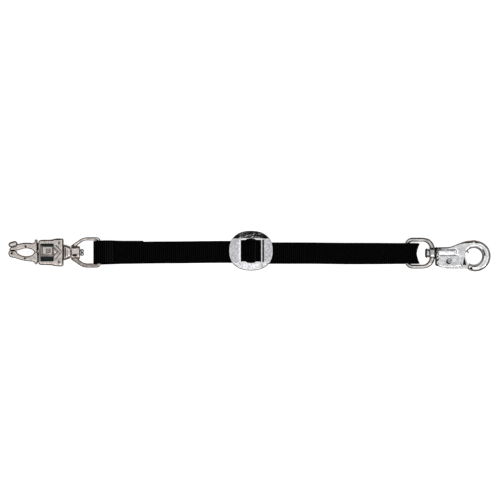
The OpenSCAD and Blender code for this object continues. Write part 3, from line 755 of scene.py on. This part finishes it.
def build_panic_snap():
    deep = SLEEVE_HALF_Z
    cast_piece("panic_snap_jaw", panic_jaw, (JAW_TIP_X, 0, -5), (-62, 15, 5), PANIC,
               WORN, "panic_jaw", "panic_jaw", thumb_painted_shade)
    cast_piece("panic_snap_body", panic_body, (JAW_TIP_X, -13.5, -9), (-32, 12, 9), PANIC,
               WORN, "panic_body", "panic_core", panic_body_painted_shade)
    cast_piece("panic_snap_sleeve", panic_sleeve, (SLEEVE_X0, -17, -deep), (SLEEVE_X1, 17, deep), PANIC,
               WORN, "panic_sleeve", "panic_sleeve", sleeve_painted_shade)
    cast_piece("panic_snap_eye", panic_eye, (BOSS_X0, -18.5, -7.3), (2, 18.5, 7.3), PANIC,
               WORN, "panic_swivel_eye", "panic_eye", eye_dark_patch)
    cast_piece("panic_snap_rivet", panic_rivet, (STUD_X0, -4, -4), (-17, 4, 4), PANIC,
               STEEL, "panic_swivel_rivet", "panic_core", step=FINE)
    cast_piece("panic_snap_pin", panic_pin, (-69, 5, -6.3), (-64, 10, 6.3), PANIC,
               STEEL, "panic_jaw_pin", "panic_core", step=FINE)


def build_panic_spring():
    low, high = node_box("panic_sleeve_spring")
    wire_r, turns, per_turn = 0.6, 5, 24
    coil_r = (high[2] - low[2]) / 2 - wire_r
    t = np.linspace(0, 1, turns * per_turn + 1)
    x = low[0] + wire_r + (high[0] - low[0] - 2 * wire_r) * t
    angle = 2 * np.pi * turns * t
    path = np.stack([x, PANIC[1] + coil_r * np.cos(angle), PANIC[2] + coil_r * np.sin(angle)], axis=1)
    spring = tubes("panic_snap_spring", [path], wire_r, 12)
    finish_piece(spring, STEEL, "panic_sleeve_spring", "panic_core")
    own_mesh(spring)


# ---- bull snap, about the bar of its eye ----

MEMBER_X = 29.3  # the eye's cross member, with its boss
BODY_X0 = 32.6
BARREL_R, BARREL_Y = 6.3, 0.8
HOOK_DISC, HOOK_DISC_R = (78.8, -3.4), 17.75  # round outside of the hook
CROWN, BACK = (72.0, 14.3), (44.5, 6.6)  # ends of the rise along the upper edge
MOUTH, MOUTH_R = (73.2, -8.8), 11  # round edge of the body's cheeks, behind the gate's tip
NOSE_PIT = (73.9, -17.6)
SWIVEL_R = 3.0
RIVET_R, RIVET_HALF_Z = 2.4, 5.6
GATE_AT = BULL + RIVET
GATE_REACH = 22.2
GATE_OPENING = 28  # degrees
GATE_HALF_Z = 2.7
GATE_DENT = [(15.5, -4.8), (19.5, -4.8), (17.0, 4.6)]


def bull_outline(x, y):
    rise = [(u, BACK[1] + (CROWN[1] - BACK[1]) * smooth((u - BACK[0]) / (CROWN[0] - BACK[0])))
            for u in np.linspace(CROWN[0], BACK[0], 14)]
    points = [(BODY_X0, -13.4), (BODY_X0 + 1.0, -14.5), (BODY_X0 + 8, -16.6), (61.1, -16.2)]
    points += arc(*MOUTH, MOUTH_R, 222, 150, 8)
    points += [(HOOK_DISC[0], 10.0), (HOOK_DISC[0], CROWN[1])] + rise + [(BODY_X0, 6.3)]
    flat = join(polygon2(x, y, points), away(x, y, HOOK_DISC) - HOOK_DISC_R, 2.5)
    return common(flat, HOOK_R - away(x, y, HOOK), 0.5)


def gate_blank(x, y):
    """The gate at rest with a straight front, about its rivet."""
    plate = polygon2(x, y, [
        (-4.2, -3.0), (-4.0, -7.8), (-2.4, -9.1), (20.6, -9.1),
        (20.6, -4.2), (18.6, 7.0), (17.3, 8.0), (2.4, 4.4),
    ]) - 0.4
    plate = either(plate, np.hypot(x, y) - 5.4)
    return common(plate, np.hypot(x, y) - GATE_REACH, 0.8)


def gate_outline(x, y):
    """The gate's front follows the hook's round opening."""
    return common(gate_blank(x, y), HOOK_R + 0.35 - away(x, y, HOOK - RIVET), 0.5)


def bull_body(x, y, z):
    to_hook = smooth((x - 58) / 14)
    body = slab(bull_outline(x, y), z, 4.9 + 0.7 * to_hook, 1.7 + 2.5 * to_hook)
    barrel = rod_x(x, y - BARREL_Y, z, BODY_X0, 56.6, BARREL_R - 0.2, 1.2)
    taper = cone_x(x, y - BARREL_Y, z, 55.0, 72.0, BARREL_R - 0.2, 1.0, 2.0)
    body = join(body, join(barrel, taper, 1.5), 0.9)
    collar = np.hypot(x - BODY_X0 - 3.0, np.maximum(np.hypot(y, z) - BARREL_R, -2)) - 0.6
    body = cut(body, both(collar, -7 - y), 0.4)
    # groove along the foot of the barrel
    line = np.hypot(line2(x, y, [(38, -3.0), (60, -2.9)]), np.abs(z) - 5.2) - 0.5
    body = cut(body, line, 0.5)
    # room for the gate's swing
    rx, ry = x - RIVET[0], y - RIVET[1]
    swing = [turned(rx, ry, angle) for angle in np.linspace(0, GATE_OPENING, 7)]
    room = np.minimum.reduce([gate_blank(*place) - 0.45 for place in swing])
    room = either(room, box2(rx, ry, 11.6, -9, 10.6, 5))
    body = cut(body, slab(room, z, 3.0, 0.2), 0.3)
    # the gap that the gate closes, as far as the hook's nose
    from_rivet = np.hypot(rx, ry)
    gap = both(from_rivet - GATE_REACH - 0.4, both(14.6 - rx, ry + 7.2))
    body = cut(body, both(gap, -20 - ry), 0.6)
    mouth = away(x, y, MOUTH) - MOUTH_R
    body = cut(body, both(mouth, from_rivet - GATE_REACH - 0.5), 0.5)
    # ring line round the rivet, the nose's pits, and both bores
    body = cut(body, np.hypot(from_rivet - 2.8, np.abs(z) - 5.0) - 0.5, 0.3)
    body = cut(body, ball(x, y, np.abs(z), (*NOSE_PIT, 4.6), 1.5), 0.5)
    body = cut(body, from_rivet - RIVET_R, 0.25)
    return cut(body, rod_x(x, y, z, BODY_X0 - 1, BODY_X0 + 8, SWIVEL_R), 0.3)


def bull_gate(x, y, z):
    d = slab(gate_outline(x, y), z, GATE_HALF_Z, 0.6)
    # ribs for the thumb
    for i in range(6):
        rib = slab(np.hypot(x - 2 - 2.4 * i, y + 9.2) - 0.55, z, 2.6, 0.3)
        d = join(d, rib, 0.4)
    d = cut(d, both(polygon2(x, y, GATE_DENT), 1.5 - np.abs(z)), 0.3)
    # pocket for the spring, and the rivet's bore
    d = cut(d, slab(np.hypot(x, y) - 4.4, z - GATE_HALF_Z, 2.0, 0.1), 0.15)
    return cut(d, np.hypot(x, y) - RIVET_R - 0.05, 0.15)


def gate_rivet(x, y, z):
    d = slab(np.hypot(x, y) - RIVET_R, z, RIVET_HALF_Z, 0.5)
    return cut(d, ball(x, y, np.abs(z), (0, 0, RIVET_HALF_Z + 0.7), 1.5), 0.5)


def bull_eye(x, y, z):
    arm_y, bend, turn = 15.6, 6.2, 11.5  # its half width, and its bends at the bar and the boss
    side = [(0, 0), (0, arm_y - bend)]
    side += arc(bend, arm_y - bend, bend, 180, 90, 10)
    side += arc(MEMBER_X - turn, arm_y - turn, turn, 90, 0, 10)
    side += [(MEMBER_X, 0)]
    wire_r = 2.3 + 0.6 * smooth((x - 20) / 8)
    wire = np.hypot(line2(x, np.abs(y), side), z) - wire_r
    boss = common(rod_x(x, y, z, MEMBER_X - 3, MEMBER_X + 2.9, BARREL_R, 0.9), np.abs(z) - 4.9, 1.8)
    body = join(wire, boss, 1.6)
    return cut(body, rod_x(x, y, z, MEMBER_X - 10, MEMBER_X + 10, SWIVEL_R + 0.05), 0.3)


def bull_rivet(x, y, z):
    stud = rod_x(x, y, z, MEMBER_X - 4, BODY_X0 + 8, SWIVEL_R, 0.2)
    head = common(rod_x(x, y, z, MEMBER_X - 8.4, MEMBER_X - 3.1, 5.6, 2.6), np.abs(z) - 4.4, 1.6)
    # ring lines round the head and on its end
    for back, ring_r, line_r in ((5.2, 5.2, 0.7), (8.3, 2.3, 0.5)):
        head = cut(head, np.hypot(x - MEMBER_X + back, np.hypot(y, z) - ring_r) - line_r, 0.4)
    return join(stud, head, 0.2)


def rivet_painted_reflection(x, y, z):
    """Painted dark reflection on the outer half of the rivet's head."""
    return 0.9 * smooth((MEMBER_X - 5.9 - x) / 0.8) * (x > MEMBER_X - 8.2)


def bull_painted_shade_and_reflection(x, y, z):
    """Painted shade at the swivel, the barrel's foot, round the rivet, in the nose's pit and the gap
    before it; a painted dark reflection as a streak round the hook; dark blotches by the swivel.
    """
    near = 1 - smooth((x - BODY_X0 - 3.0) / 3.0)
    patches = np.sin(0.9 * y + 0.4 * z) + np.sin(1.7 * x - 1.3 * y) + 0.25 * np.sin(4.1 * x + 3.3 * y)
    blotches = 0.6 * near * smooth(0.5 + 0.5 * patches)
    end = 0.85 * smooth((BODY_X0 + 2.3 - x) / 1.0)
    foot = 0.45 * smooth(1 - np.abs(y + 2.9)) * smooth((x - 36) / 2) * smooth((61 - x) / 2)
    pit = 0.9 * smooth(1.9 - away(x, y, NOSE_PIT))
    from_rivet = away(x, y, RIVET)
    gap = 0.9 * smooth((GATE_REACH + 1.6 - from_rivet) / 0.5) * (from_rivet > GATE_REACH) * (y < -13)
    crescent = 0.9 * smooth((3.2 - away(x, y, RIVET - 0.9)) / 0.5)
    angle = np.degrees(np.arctan2(y - HOOK[1], x - HOOK[0]))
    # Painted dark reflection: a streak round the inside of the hook
    streak = 0.75 * smooth(1.2 - np.abs(away(x, y, HOOK) - 12.6))
    streak = streak * smooth((angle + 2) / 8) * smooth((44 - angle) / 8)
    return np.maximum.reduce([blotches, end, foot, pit, gap, crescent, streak])


def gate_painted_shade(x, y, z):
    """Painted shade in the three-cornered recess."""
    return 0.9 * smooth(0.5 - polygon2(x, y, GATE_DENT) / 0.6) * (np.abs(z) < GATE_HALF_Z - 0.15)


def build_bull_snap():
    cast_piece("bull_snap_body", bull_body, (BODY_X0, -21.5, -6.4), (97, 15, 6.4), BULL,
               CHROME, "bull_body", "bull_core", bull_painted_shade_and_reflection)
    cast_piece("bull_snap_eye", bull_eye, (-2.4, -18, -6.4), (32.3, 18, 6.4), BULL,
               SATIN, "bull_swivel_eye", "bull_eye")
    cast_piece("bull_snap_gate", bull_gate, (-5.5, -10.2, -2.8), (22.3, 9, 2.8), GATE_AT,
               CHROME, "bull_gate", "bull_gate", gate_painted_shade, FINE)
    cast_piece("bull_snap_gate_rivet", gate_rivet, (-2.5, -2.5, -5.7), (2.5, 2.5, 5.7), GATE_AT,
               STEEL, "bull_gate_rivet", "bull_core", step=FINE)
    cast_piece("bull_snap_rivet", bull_rivet, (20.4, -5.9, -5.7), (40.7, 5.9, 5.7), BULL,
               STEEL, "bull_swivel_rivet", "bull_core", rivet_painted_reflection, FINE)


def build_gate_spring():
    wire_r, coil_r, z0, z1 = 0.4, 3.5, 1.25, 2.2
    t = np.linspace(0, 1, 37)
    angle = -np.pi / 2 - 3 * np.pi * t
    coil = [(coil_r * np.cos(a), coil_r * np.sin(a), z0 + (z1 - z0) * u) for a, u in zip(angle, t)]
    path = np.array([(10.5, -coil_r, z0)] + coil + [(-3.6, coil_r, z1)]) + GATE_AT
    spring = tubes("bull_snap_gate_spring", [path], wire_r)
    finish_piece(spring, STEEL, "bull_gate_spring", "bull_core")


# ---- slide, about the middle of its plate ----

SLIDE_HALF_L, SLIDE_HALF_W = ((slide_high - slide_low) / 2)[:2]
SLIDE_T = 2.2
OVAL = 2.3  # 2 is an ellipse, and more is squarer
CREASE_Y = 13.5
UNDER_PLATE = 2 * WEB_T + 1.2
WINDOW_HALF_L, WINDOW_HALF_W = 11.5, 14.1
CHANNEL_X, CHANNEL_HALF_W = WINDOW_HALF_L + 2.6, WINDOW_HALF_W - 1.2
LUG_Y = 15.7
BAR_END_R, BAR_HALF_L = 1.2, 16


def slide_plate(x, y, z):
    oval = ((np.abs(x) / SLIDE_HALF_L) ** OVAL + (np.abs(y) / SLIDE_HALF_W) ** OVAL + 1e-9) ** (1 / OVAL)
    rim = (oval - 1) * SLIDE_HALF_W
    # flat in the middle, falling beyond the crease, and rolled down a little beside the window
    slope = UNDER_PLATE / (SLIDE_HALF_W - CREASE_Y)
    beyond = np.abs(y) - CREASE_Y
    fall = slope * (0.5 * (beyond + np.sqrt(beyond ** 2 + 0.25)))
    rolled = 0.6 * (1 - smooth((np.abs(x) - WINDOW_HALF_L + 0.5) / 3.2))
    rolled = rolled * (1 - smooth((np.abs(y) - 12) / 11))
    middle = UNDER_PLATE + SLIDE_T / 2 - fall - rolled
    lean = np.where(beyond > 0, 1 / np.hypot(1, slope), 1.0)
    plate = common(np.abs(z - middle) * lean - SLIDE_T / 2, rim, 1.1)
    plate = cut(plate, box2(x, y, 0, 0, WINDOW_HALF_L, WINDOW_HALF_W, 2.2), 0.5)
    channel = box2(x, y, CHANNEL_X, 0, 0.9, CHANNEL_HALF_W, 0.4)
    plate = cut(plate, both(channel, middle + SLIDE_T / 2 - 0.5 - z), 0.4)
    plate = both(plate, -z + 0.02)
    # lugs for the ends of the bar
    lug_z, lug_half_z = UNDER_PLATE / 2 + 0.75, UNDER_PLATE / 2 - 1.1
    for side in (-1, 1):
        lug = box3(x, y, z, (0, side * LUG_Y, lug_z), (2.8, 1.5, lug_half_z), 0.4)
        plate = join(plate, lug, 0.6)
    return cut(plate, slab(np.hypot(x, z - BAR[2]) - BAR_END_R, y, BAR_HALF_L, 0.1), 0.2)


def slide_bar(x, y, z):
    middle = slab(np.hypot(x, z) - BAR_R, y, 13.9, 0.3)
    return either(middle, slab(np.hypot(x, z) - BAR_END_R, y, BAR_HALF_L, 0.2))


def slide_painted_reflection(x, y, z):
    """Painted shade and painted dark reflection in the channel beside the window."""
    channel = box2(x, y, CHANNEL_X, 0, 1.0, CHANNEL_HALF_W, 0.4)
    return 0.6 * smooth(0.5 - channel / 0.5) * (z > UNDER_PLATE)


def build_slide():
    origin = np.array([SLIDE[0], SLIDE[1], 0])
    cast_piece("slide_plate", slide_plate, (-26, -24, 0), (26, 24, 7), origin,
               SLIDE_PLATE, "slide_frame", "adjuster", slide_painted_reflection, STEP * 0.85)
    cast_piece("slide_centre_bar", slide_bar, (-2.1, -16, -2.1), (2.1, 16, 2.1), BAR,
               STEEL, "slide_bar", "adjuster")


# ---- webbing ----


def resample(path, spacing):
    """Even points along a path of [x, z] points, with their distance from its start."""
    path = np.array(path, float)
    length = np.concatenate([[0], np.cumsum(np.hypot(*np.diff(path, axis=0).T))])
    keep = np.concatenate([[True], np.diff(length) > 1e-6])
    path, length = path[keep], length[keep]
    s = np.linspace(0, length[-1], int(length[-1] / spacing) + 1)
    return np.stack([np.interp(s, length, path[:, 0]), np.interp(s, length, path[:, 1])], axis=1), s


def section():
    """Points round the webbing's section: place across it, and how far each stands out and up."""
    across = np.linspace(-1, 1, 23)
    rim = np.radians(np.linspace(90, -90, 7))[1:-1]
    ring = [(t, 0.0, 1.0) for t in across]
    ring += [(1.0, np.cos(a), np.sin(a)) for a in rim]
    ring += [(t, 0.0, -1.0) for t in across[::-1]]
    return ring + [(-1.0, -np.cos(a), -np.sin(a)) for a in rim]


def strip(name, path, centre_y, half_w=None, bow=None):
    """Ribbed webbing along a path of [x, z] points at its mid thickness, with its length.

    centre_y, half_w and bow depend on the distance along it and on x; bow pulls its edges along X.
    """
    points, s = resample(path, RIB / (8))
    span = 5  # points that each bend is evened out over
    padded = np.pad(points, ((span // 2, span // 2), (0, 0)), mode="edge")
    soft = np.stack([np.convolve(padded[:, i], np.ones(span) / span, "valid") for i in range(2)], axis=1)
    soft[:3], soft[-3:] = points[:3], points[-3:]
    along = np.gradient(soft, axis=0)
    along /= np.linalg.norm(along, axis=1)[:, None]
    normal = np.stack([-along[:, 1], along[:, 0]], axis=1)
    x = soft[:, 0]
    middle = centre_y(s, x)
    half = half_w(s, x) if half_w else np.full_like(s, WEB_W / 2)
    rib = np.abs(np.sin(np.pi * s / RIB)) ** 0.6
    thick = WEB_T / 2 * (1 - 0.17 * (1 - rib))
    half = half * (1 - 0.010 * (1 - rib))
    ring = section()
    verts, weave = [], []
    for t, out, up in ring:
        y = middle + t * (half - thick) + out * thick
        h = up * thick
        lift = bow(s, x) * np.abs(t) ** 1.6 if bow else 0.0
        verts.append(np.stack([x + lift + normal[:, 0] * h, y, soft[:, 1] + normal[:, 1] * h], axis=1))
        weave.append(np.stack([s, y - middle, np.full_like(s, up)], axis=1))
    n, m = len(s), len(ring)
    verts = np.stack(verts, axis=1).reshape(-1, 3)
    i, k = np.meshgrid(np.arange(n - 1), np.arange(m), indexing="ij")
    a, b = i * m + k, i * m + (k + 1) % m
    quads = np.stack([a, b, b + m, a + m], axis=-1).reshape(-1, 4).tolist()
    ends = [list(range(m))[::-1], list(range((n - 1) * m, n * m))]
    obj = mesh_object(name, verts, quads + ends)
    store(obj, "weave", "FLOAT_VECTOR", "vector", np.stack(weave, axis=1))
    return obj, float(s[-1])


def finish_strap(strap, node, body=None):
    """Gives webbing its look, hides the CAD node that it stands for, and hangs it on its body if it has
    one.
    """
    finish_piece(strap, NYLON, node, body)


LOOP_X = -2.7  # the fold's loose end, beyond the bar
LOOP_R = PANIC_WIRE_R + 0.3
FOLD_OPEN_L = 13.5
FOLD_FLAT_X = FOLD_L + 3
SPLIT_LEFT = SLIDE[0] - 18.5  # the webbing is cut in pieces under the slide's plates
SPLIT_RIGHT = SLIDE[0] + 19.0


def fold_mid(u):
    """Height of the seam in the sewn fold, u beyond the bar."""
    return WEB_T + (PANIC[2] - WEB_T) * smooth((FOLD_FLAT_X - u) / FOLD_FLAT_X)


def fold_half_gap(u):
    return LOOP_R * smooth((FOLD_OPEN_L - u) / FOLD_OPEN_L)


def build_left_strap():
    bar_x = PANIC[0]
    back = np.linspace(FOLD_L, 0, 60)
    out = np.linspace(0, FOLD_FLAT_X, 60)
    path = [(bar_x + u, fold_mid(u) + fold_half_gap(u) + WEB_T / 2) for u in back]
    path += arc(bar_x + LOOP_X, PANIC[2], LOOP_R + WEB_T / 2, 90, 270, 24)
    path += [(bar_x + u, fold_mid(u) - fold_half_gap(u) - WEB_T / 2) for u in out]
    path += [(SPLIT_LEFT, WEB_T / 2)]

    def centre_y(s, x):
        tail = 0.7 * smooth((66 - s) / 30)
        under = -0.6 * smooth((s - 50) / 20) * smooth((150 - s) / 60)
        drift = 0.55 * smooth((x - LEFT_BEND[0] + 60) / 60)
        return LEFT_BEND[1] - 0.15 + tail + under + drift

    def half_w(s, x):
        return WEB_W / 2 + 0.1 + 0.7 * smooth((bar_x + 30 - x) / 26)

    strap, length = strip("left_strap", path, centre_y, half_w)
    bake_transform(strap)
    finish_strap(strap, "webbing_left")


CREST_R = BAR_R + 1.5 * WEB_T + 0.1  # the crest's mid layer, about the bar


def crest_path():
    """Up from the left, over the bar, and down under the right plate."""
    dips = [(SLIDE[0] - 13.6, WEB_T / 2), (SLIDE[0] + 12.2, UPPER_Z + WEB_T / 2)]
    angles = []
    for x, z in dips:
        dx, dz = abs(BAR[0] - x), BAR[2] - z
        angles.append(np.degrees(np.arctan2(dz, dx) + np.arcsin(CREST_R / np.hypot(dx, dz))))
    over = arc(BAR[0], BAR[2], CREST_R, 90 + angles[0], 90 - angles[1], 24)
    return [(SPLIT_LEFT, WEB_T / 2), dips[0]] + over + [dips[1], (SPLIT_RIGHT, UPPER_Z + WEB_T / 2)]


def build_slide_webbing():
    def centre_y(s, x):
        left, right = LEFT_BEND[1] + 0.4, RIGHT_BEND[1]
        near = 2.0
        to_left = smooth((SLIDE[0] - 9 - x) / 9)
        to_right = smooth((x - SLIDE[0] - 9) / 9)
        return near + (left - near) * to_left + (right - near) * to_right

    def half_w(s, x):
        return WEB_W / 2 - 0.2 + 1.4 * smooth((6.6 - np.abs(x - SLIDE[0])) / 3.0)

    crest, length = strip("slide_crest_webbing", crest_path(), centre_y, half_w)
    finish_strap(crest, "webbing_center", "adjuster")
    inner = BAR_R + 0.05 + WEB_T / 2
    path = [(SPLIT_RIGHT, WEB_T / 2), (SLIDE[0] + 6, WEB_T / 2 + 0.05), (SLIDE[0] + 3, WEB_T / 2 + 0.1)]
    path += arc(BAR[0], BAR[2], inner, -90, -385, 40)
    loop, length = strip("slide_bar_loop_webbing", path, centre_y)
    finish_strap(loop, "webbing_bar_loop", "adjuster")


BULL_LOOP_R = 4.6
BULL_LOOP_X = 5.2
BULL_LOOP_Z = max(BULL[2], BULL_LOOP_R + WEB_T + 0.1)
LOOP_START, RISE_START = -24, -40  # where the layers part, and where they leave the floor


def right_mid(u):
    return UPPER_Z - 0.025 + (BULL_LOOP_Z - UPPER_Z) * smooth((u - RISE_START) / -RISE_START)


def right_half_gap(u):
    return 0.15 + (BULL_LOOP_R - 0.15) * smooth((u - LOOP_START) / -LOOP_START)


def build_right_strap():
    run = np.linspace(RISE_START, 0, 50)
    top = [(BULL[0] + u, right_mid(u) + right_half_gap(u) + WEB_T / 2) for u in run]
    low = [(BULL[0] + u, max(0.0, right_mid(u) - right_half_gap(u) - WEB_T) + WEB_T / 2) for u in run]
    end = arc(BULL[0] + BULL_LOOP_X, BULL_LOOP_Z, BULL_LOOP_R + WEB_T / 2, 90, -90, 28)
    path = [(SPLIT_RIGHT, UPPER_Z + WEB_T / 2)] + top + end + low[::-1] + [(SPLIT_RIGHT, WEB_T / 2)]
    half_way = BULL[0] - SPLIT_RIGHT + 12.5

    def near_eye(x):
        return smooth((x - BULL[0] + 34) / 30)

    def centre_y(s, x):
        layer = np.where(s < half_way, 1, -1)
        middle = smooth((s - half_way + 14) / 28) * -2 + 1
        drift = -0.5 * smooth((x - 60) / 60)
        to_eye = (BULL[1] - 0.4 - RIGHT_BEND[1] - drift) * smooth((x - BULL[0] + 14) / 14)
        return RIGHT_BEND[1] + drift + to_eye + 0.3 * near_eye(x) * middle + 0.1 * layer * np.sin(x / 25)

    def half_w(s, x):
        return WEB_W / 2 - 0.3 - 0.6 * near_eye(x)

    def bow(s, x):
        return 3.2 * smooth((x - BULL[0] + 8) / 14)

    strap, length = strip("right_strap", path, centre_y, half_w, bow)
    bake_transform(strap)
    finish_strap(strap, "webbing_right")


THREAD_R = 0.33
NINE = np.arange(-4, 5)  # stitches of a row, counted from its middle


def stitch_row(at, tilt, places, length):
    """Paths of the stitches of one row across the webbing: each rises out of it and dives back."""
    rise = np.array([0.0, 0.30, 0.42, 0.30, 0.0]) - 0.12
    along = np.linspace(-length / 2, length / 2, 5)
    return [[(at[0] + h * tilt[0], y + a, at[1] + h * tilt[1]) for a, h in zip(along, rise)]
            for y in places]


def build_stitching():
    fold = []
    for row in range(4):
        u = 7.6 + 2.6 * row
        top = fold_mid(u) + fold_half_gap(u) + WEB_T
        fold += stitch_row((PANIC[0] + u, top + 0.12), (0.1, 1.0), LEFT_BEND[1] + 0.9 + 2.6 * NINE, 1.7)
    finish_piece(tubes("fold_stitches", fold, THREAD_R), THREAD, "fold_stitching", "left_strap")
    low, high = node_box("slide_stitching")
    middle = (low + high) / 2
    angle = np.arctan2(middle[2] - BAR[2], middle[0] - BAR[0])
    tilt = (np.cos(angle), np.sin(angle))
    row = stitch_row((middle[0], middle[2]), tilt, 1.0 + 2.5 * NINE, 1.6)
    finish_piece(tubes("slide_stitches", row, THREAD_R), THREAD, "slide_stitching", "adjuster")


# ---- stage, light and camera ----

FLOOR_R = 9
CAMERA_AT = (0.0005, 0.0028)
LENS, SENSOR, VIEW_WIDTH = 400.0, 36.0, 0.5773


def build_stage():
    m, _, shader = material("stage_paper")
    set_inputs(shader, Base_Color=(0.93, 0.93, 0.93, 1), Roughness=0.9, Specular_IOR_Level=0.1)
    set_inputs(shader, Emission_Color=(1, 1, 1, 1), Emission_Strength=0.75)
    bpy.ops.mesh.primitive_circle_add(vertices=64, radius=FLOOR_R, fill_type="NGON",
                                      location=(0, 0, -0.0002))
    floor = bpy.context.object
    floor.name = "studio_floor"
    floor.data.materials.append(m)
    floor.visible_glossy = False  # the metal keeps dark outlines, as with black flags


def build_world():
    """A cloudy studio: bright overhead and towards -Y, a dark ring low down and a dark side at +Y."""
    world = bpy.data.worlds.new("studio")
    bpy.context.scene.world = world
    world.use_nodes = True
    nodes = world.node_tree.nodes
    direction = nodes.new("ShaderNodeTexCoord").outputs["Generated"]

    def dot(axis):
        node = nodes.new("ShaderNodeVectorMath")
        node.operation = "DOT_PRODUCT"
        node.inputs[1].default_value = Vector(axis).normalized()
        link(direction, node.inputs[0])
        return node.outputs["Value"]

    def facing(axis, low, high, start, end):
        value = ramp(nodes, dot(axis), low, high, start, end)
        value.node.interpolation_type = "SMOOTHSTEP"
        return value

    rings = nodes.new("ShaderNodeValToRGB")
    stops = rings.color_ramp.elements
    greys = ((0.0, 0.085), (0.08, 0.060), (0.40, 0.060), (0.53, 0.17), (0.68, 0.34),
             (0.80, 0.52), (0.91, 0.50), (0.97, 0.36), (1.0, 0.36))
    while len(stops) < len(greys):
        stops.new(0.5)
    for stop, (place, grey) in zip(stops, greys):
        stop.position = place
        stop.color = (grey, grey, grey, 1)
    link(dot((0, 0, 1)), rings.inputs["Fac"])
    cloud = ramp(nodes, noise(nodes, direction, 10.0, 2.0), 0.7, 3.3, 0.36, 0.62)
    behind = facing((-0.08, 0.80, 0.58), 1.0, 0.015, 0.925, 0.968)
    front = facing((0.10, -0.79, 0.60), 0.0, 0.52, 0.955, 0.985)
    sky = calc(nodes, "MULTIPLY", rings.outputs["Color"], cloud)
    sky = calc(nodes, "MULTIPLY", sky, behind)
    link(calc(nodes, "ADD", sky, front), nodes["Background"].inputs["Strength"])
    low_tint, high_tint = (1.0, 0.86, 0.78), (0.98, 0.985, 1.0)
    tint = two_colours(nodes, dot((0, 0, 1)), low_tint, high_tint, 0.0, 0.75)
    link(tint, nodes["Background"].inputs["Color"])


def area_light(name, place, size, power):
    light = bpy.data.lights.new(name, "AREA")
    light.shape = "DISK"
    light.size = size
    light.energy = power
    obj = new_object(name, light, place)
    obj.rotation_euler = (-Vector(place)).to_track_quat("-Z", "Y").to_euler()


def build_camera():
    """Straight down on the strap, which runs across the picture, with a plain tone curve."""
    bpy.context.scene.view_settings.view_transform = "Standard"
    camera = bpy.data.cameras.new("camera")
    camera.lens = LENS
    camera.sensor_width = SENSOR
    camera.clip_end = 50
    place = (*CAMERA_AT, VIEW_WIDTH * LENS / SENSOR)
    bpy.context.scene.camera = new_object("camera", camera, place)


build_camera()
build_panic_snap()
build_panic_spring()
build_bull_snap()
build_gate_spring()
build_slide()
build_left_strap()
build_slide_webbing()
build_right_strap()
build_stitching()
build_stage()
build_world()
area_light("overhead", (0.30, -0.62, 1.9), 0.36, 1.1)
area_light("side", (1.1, -0.9, 0.9), 0.5, 1.6)
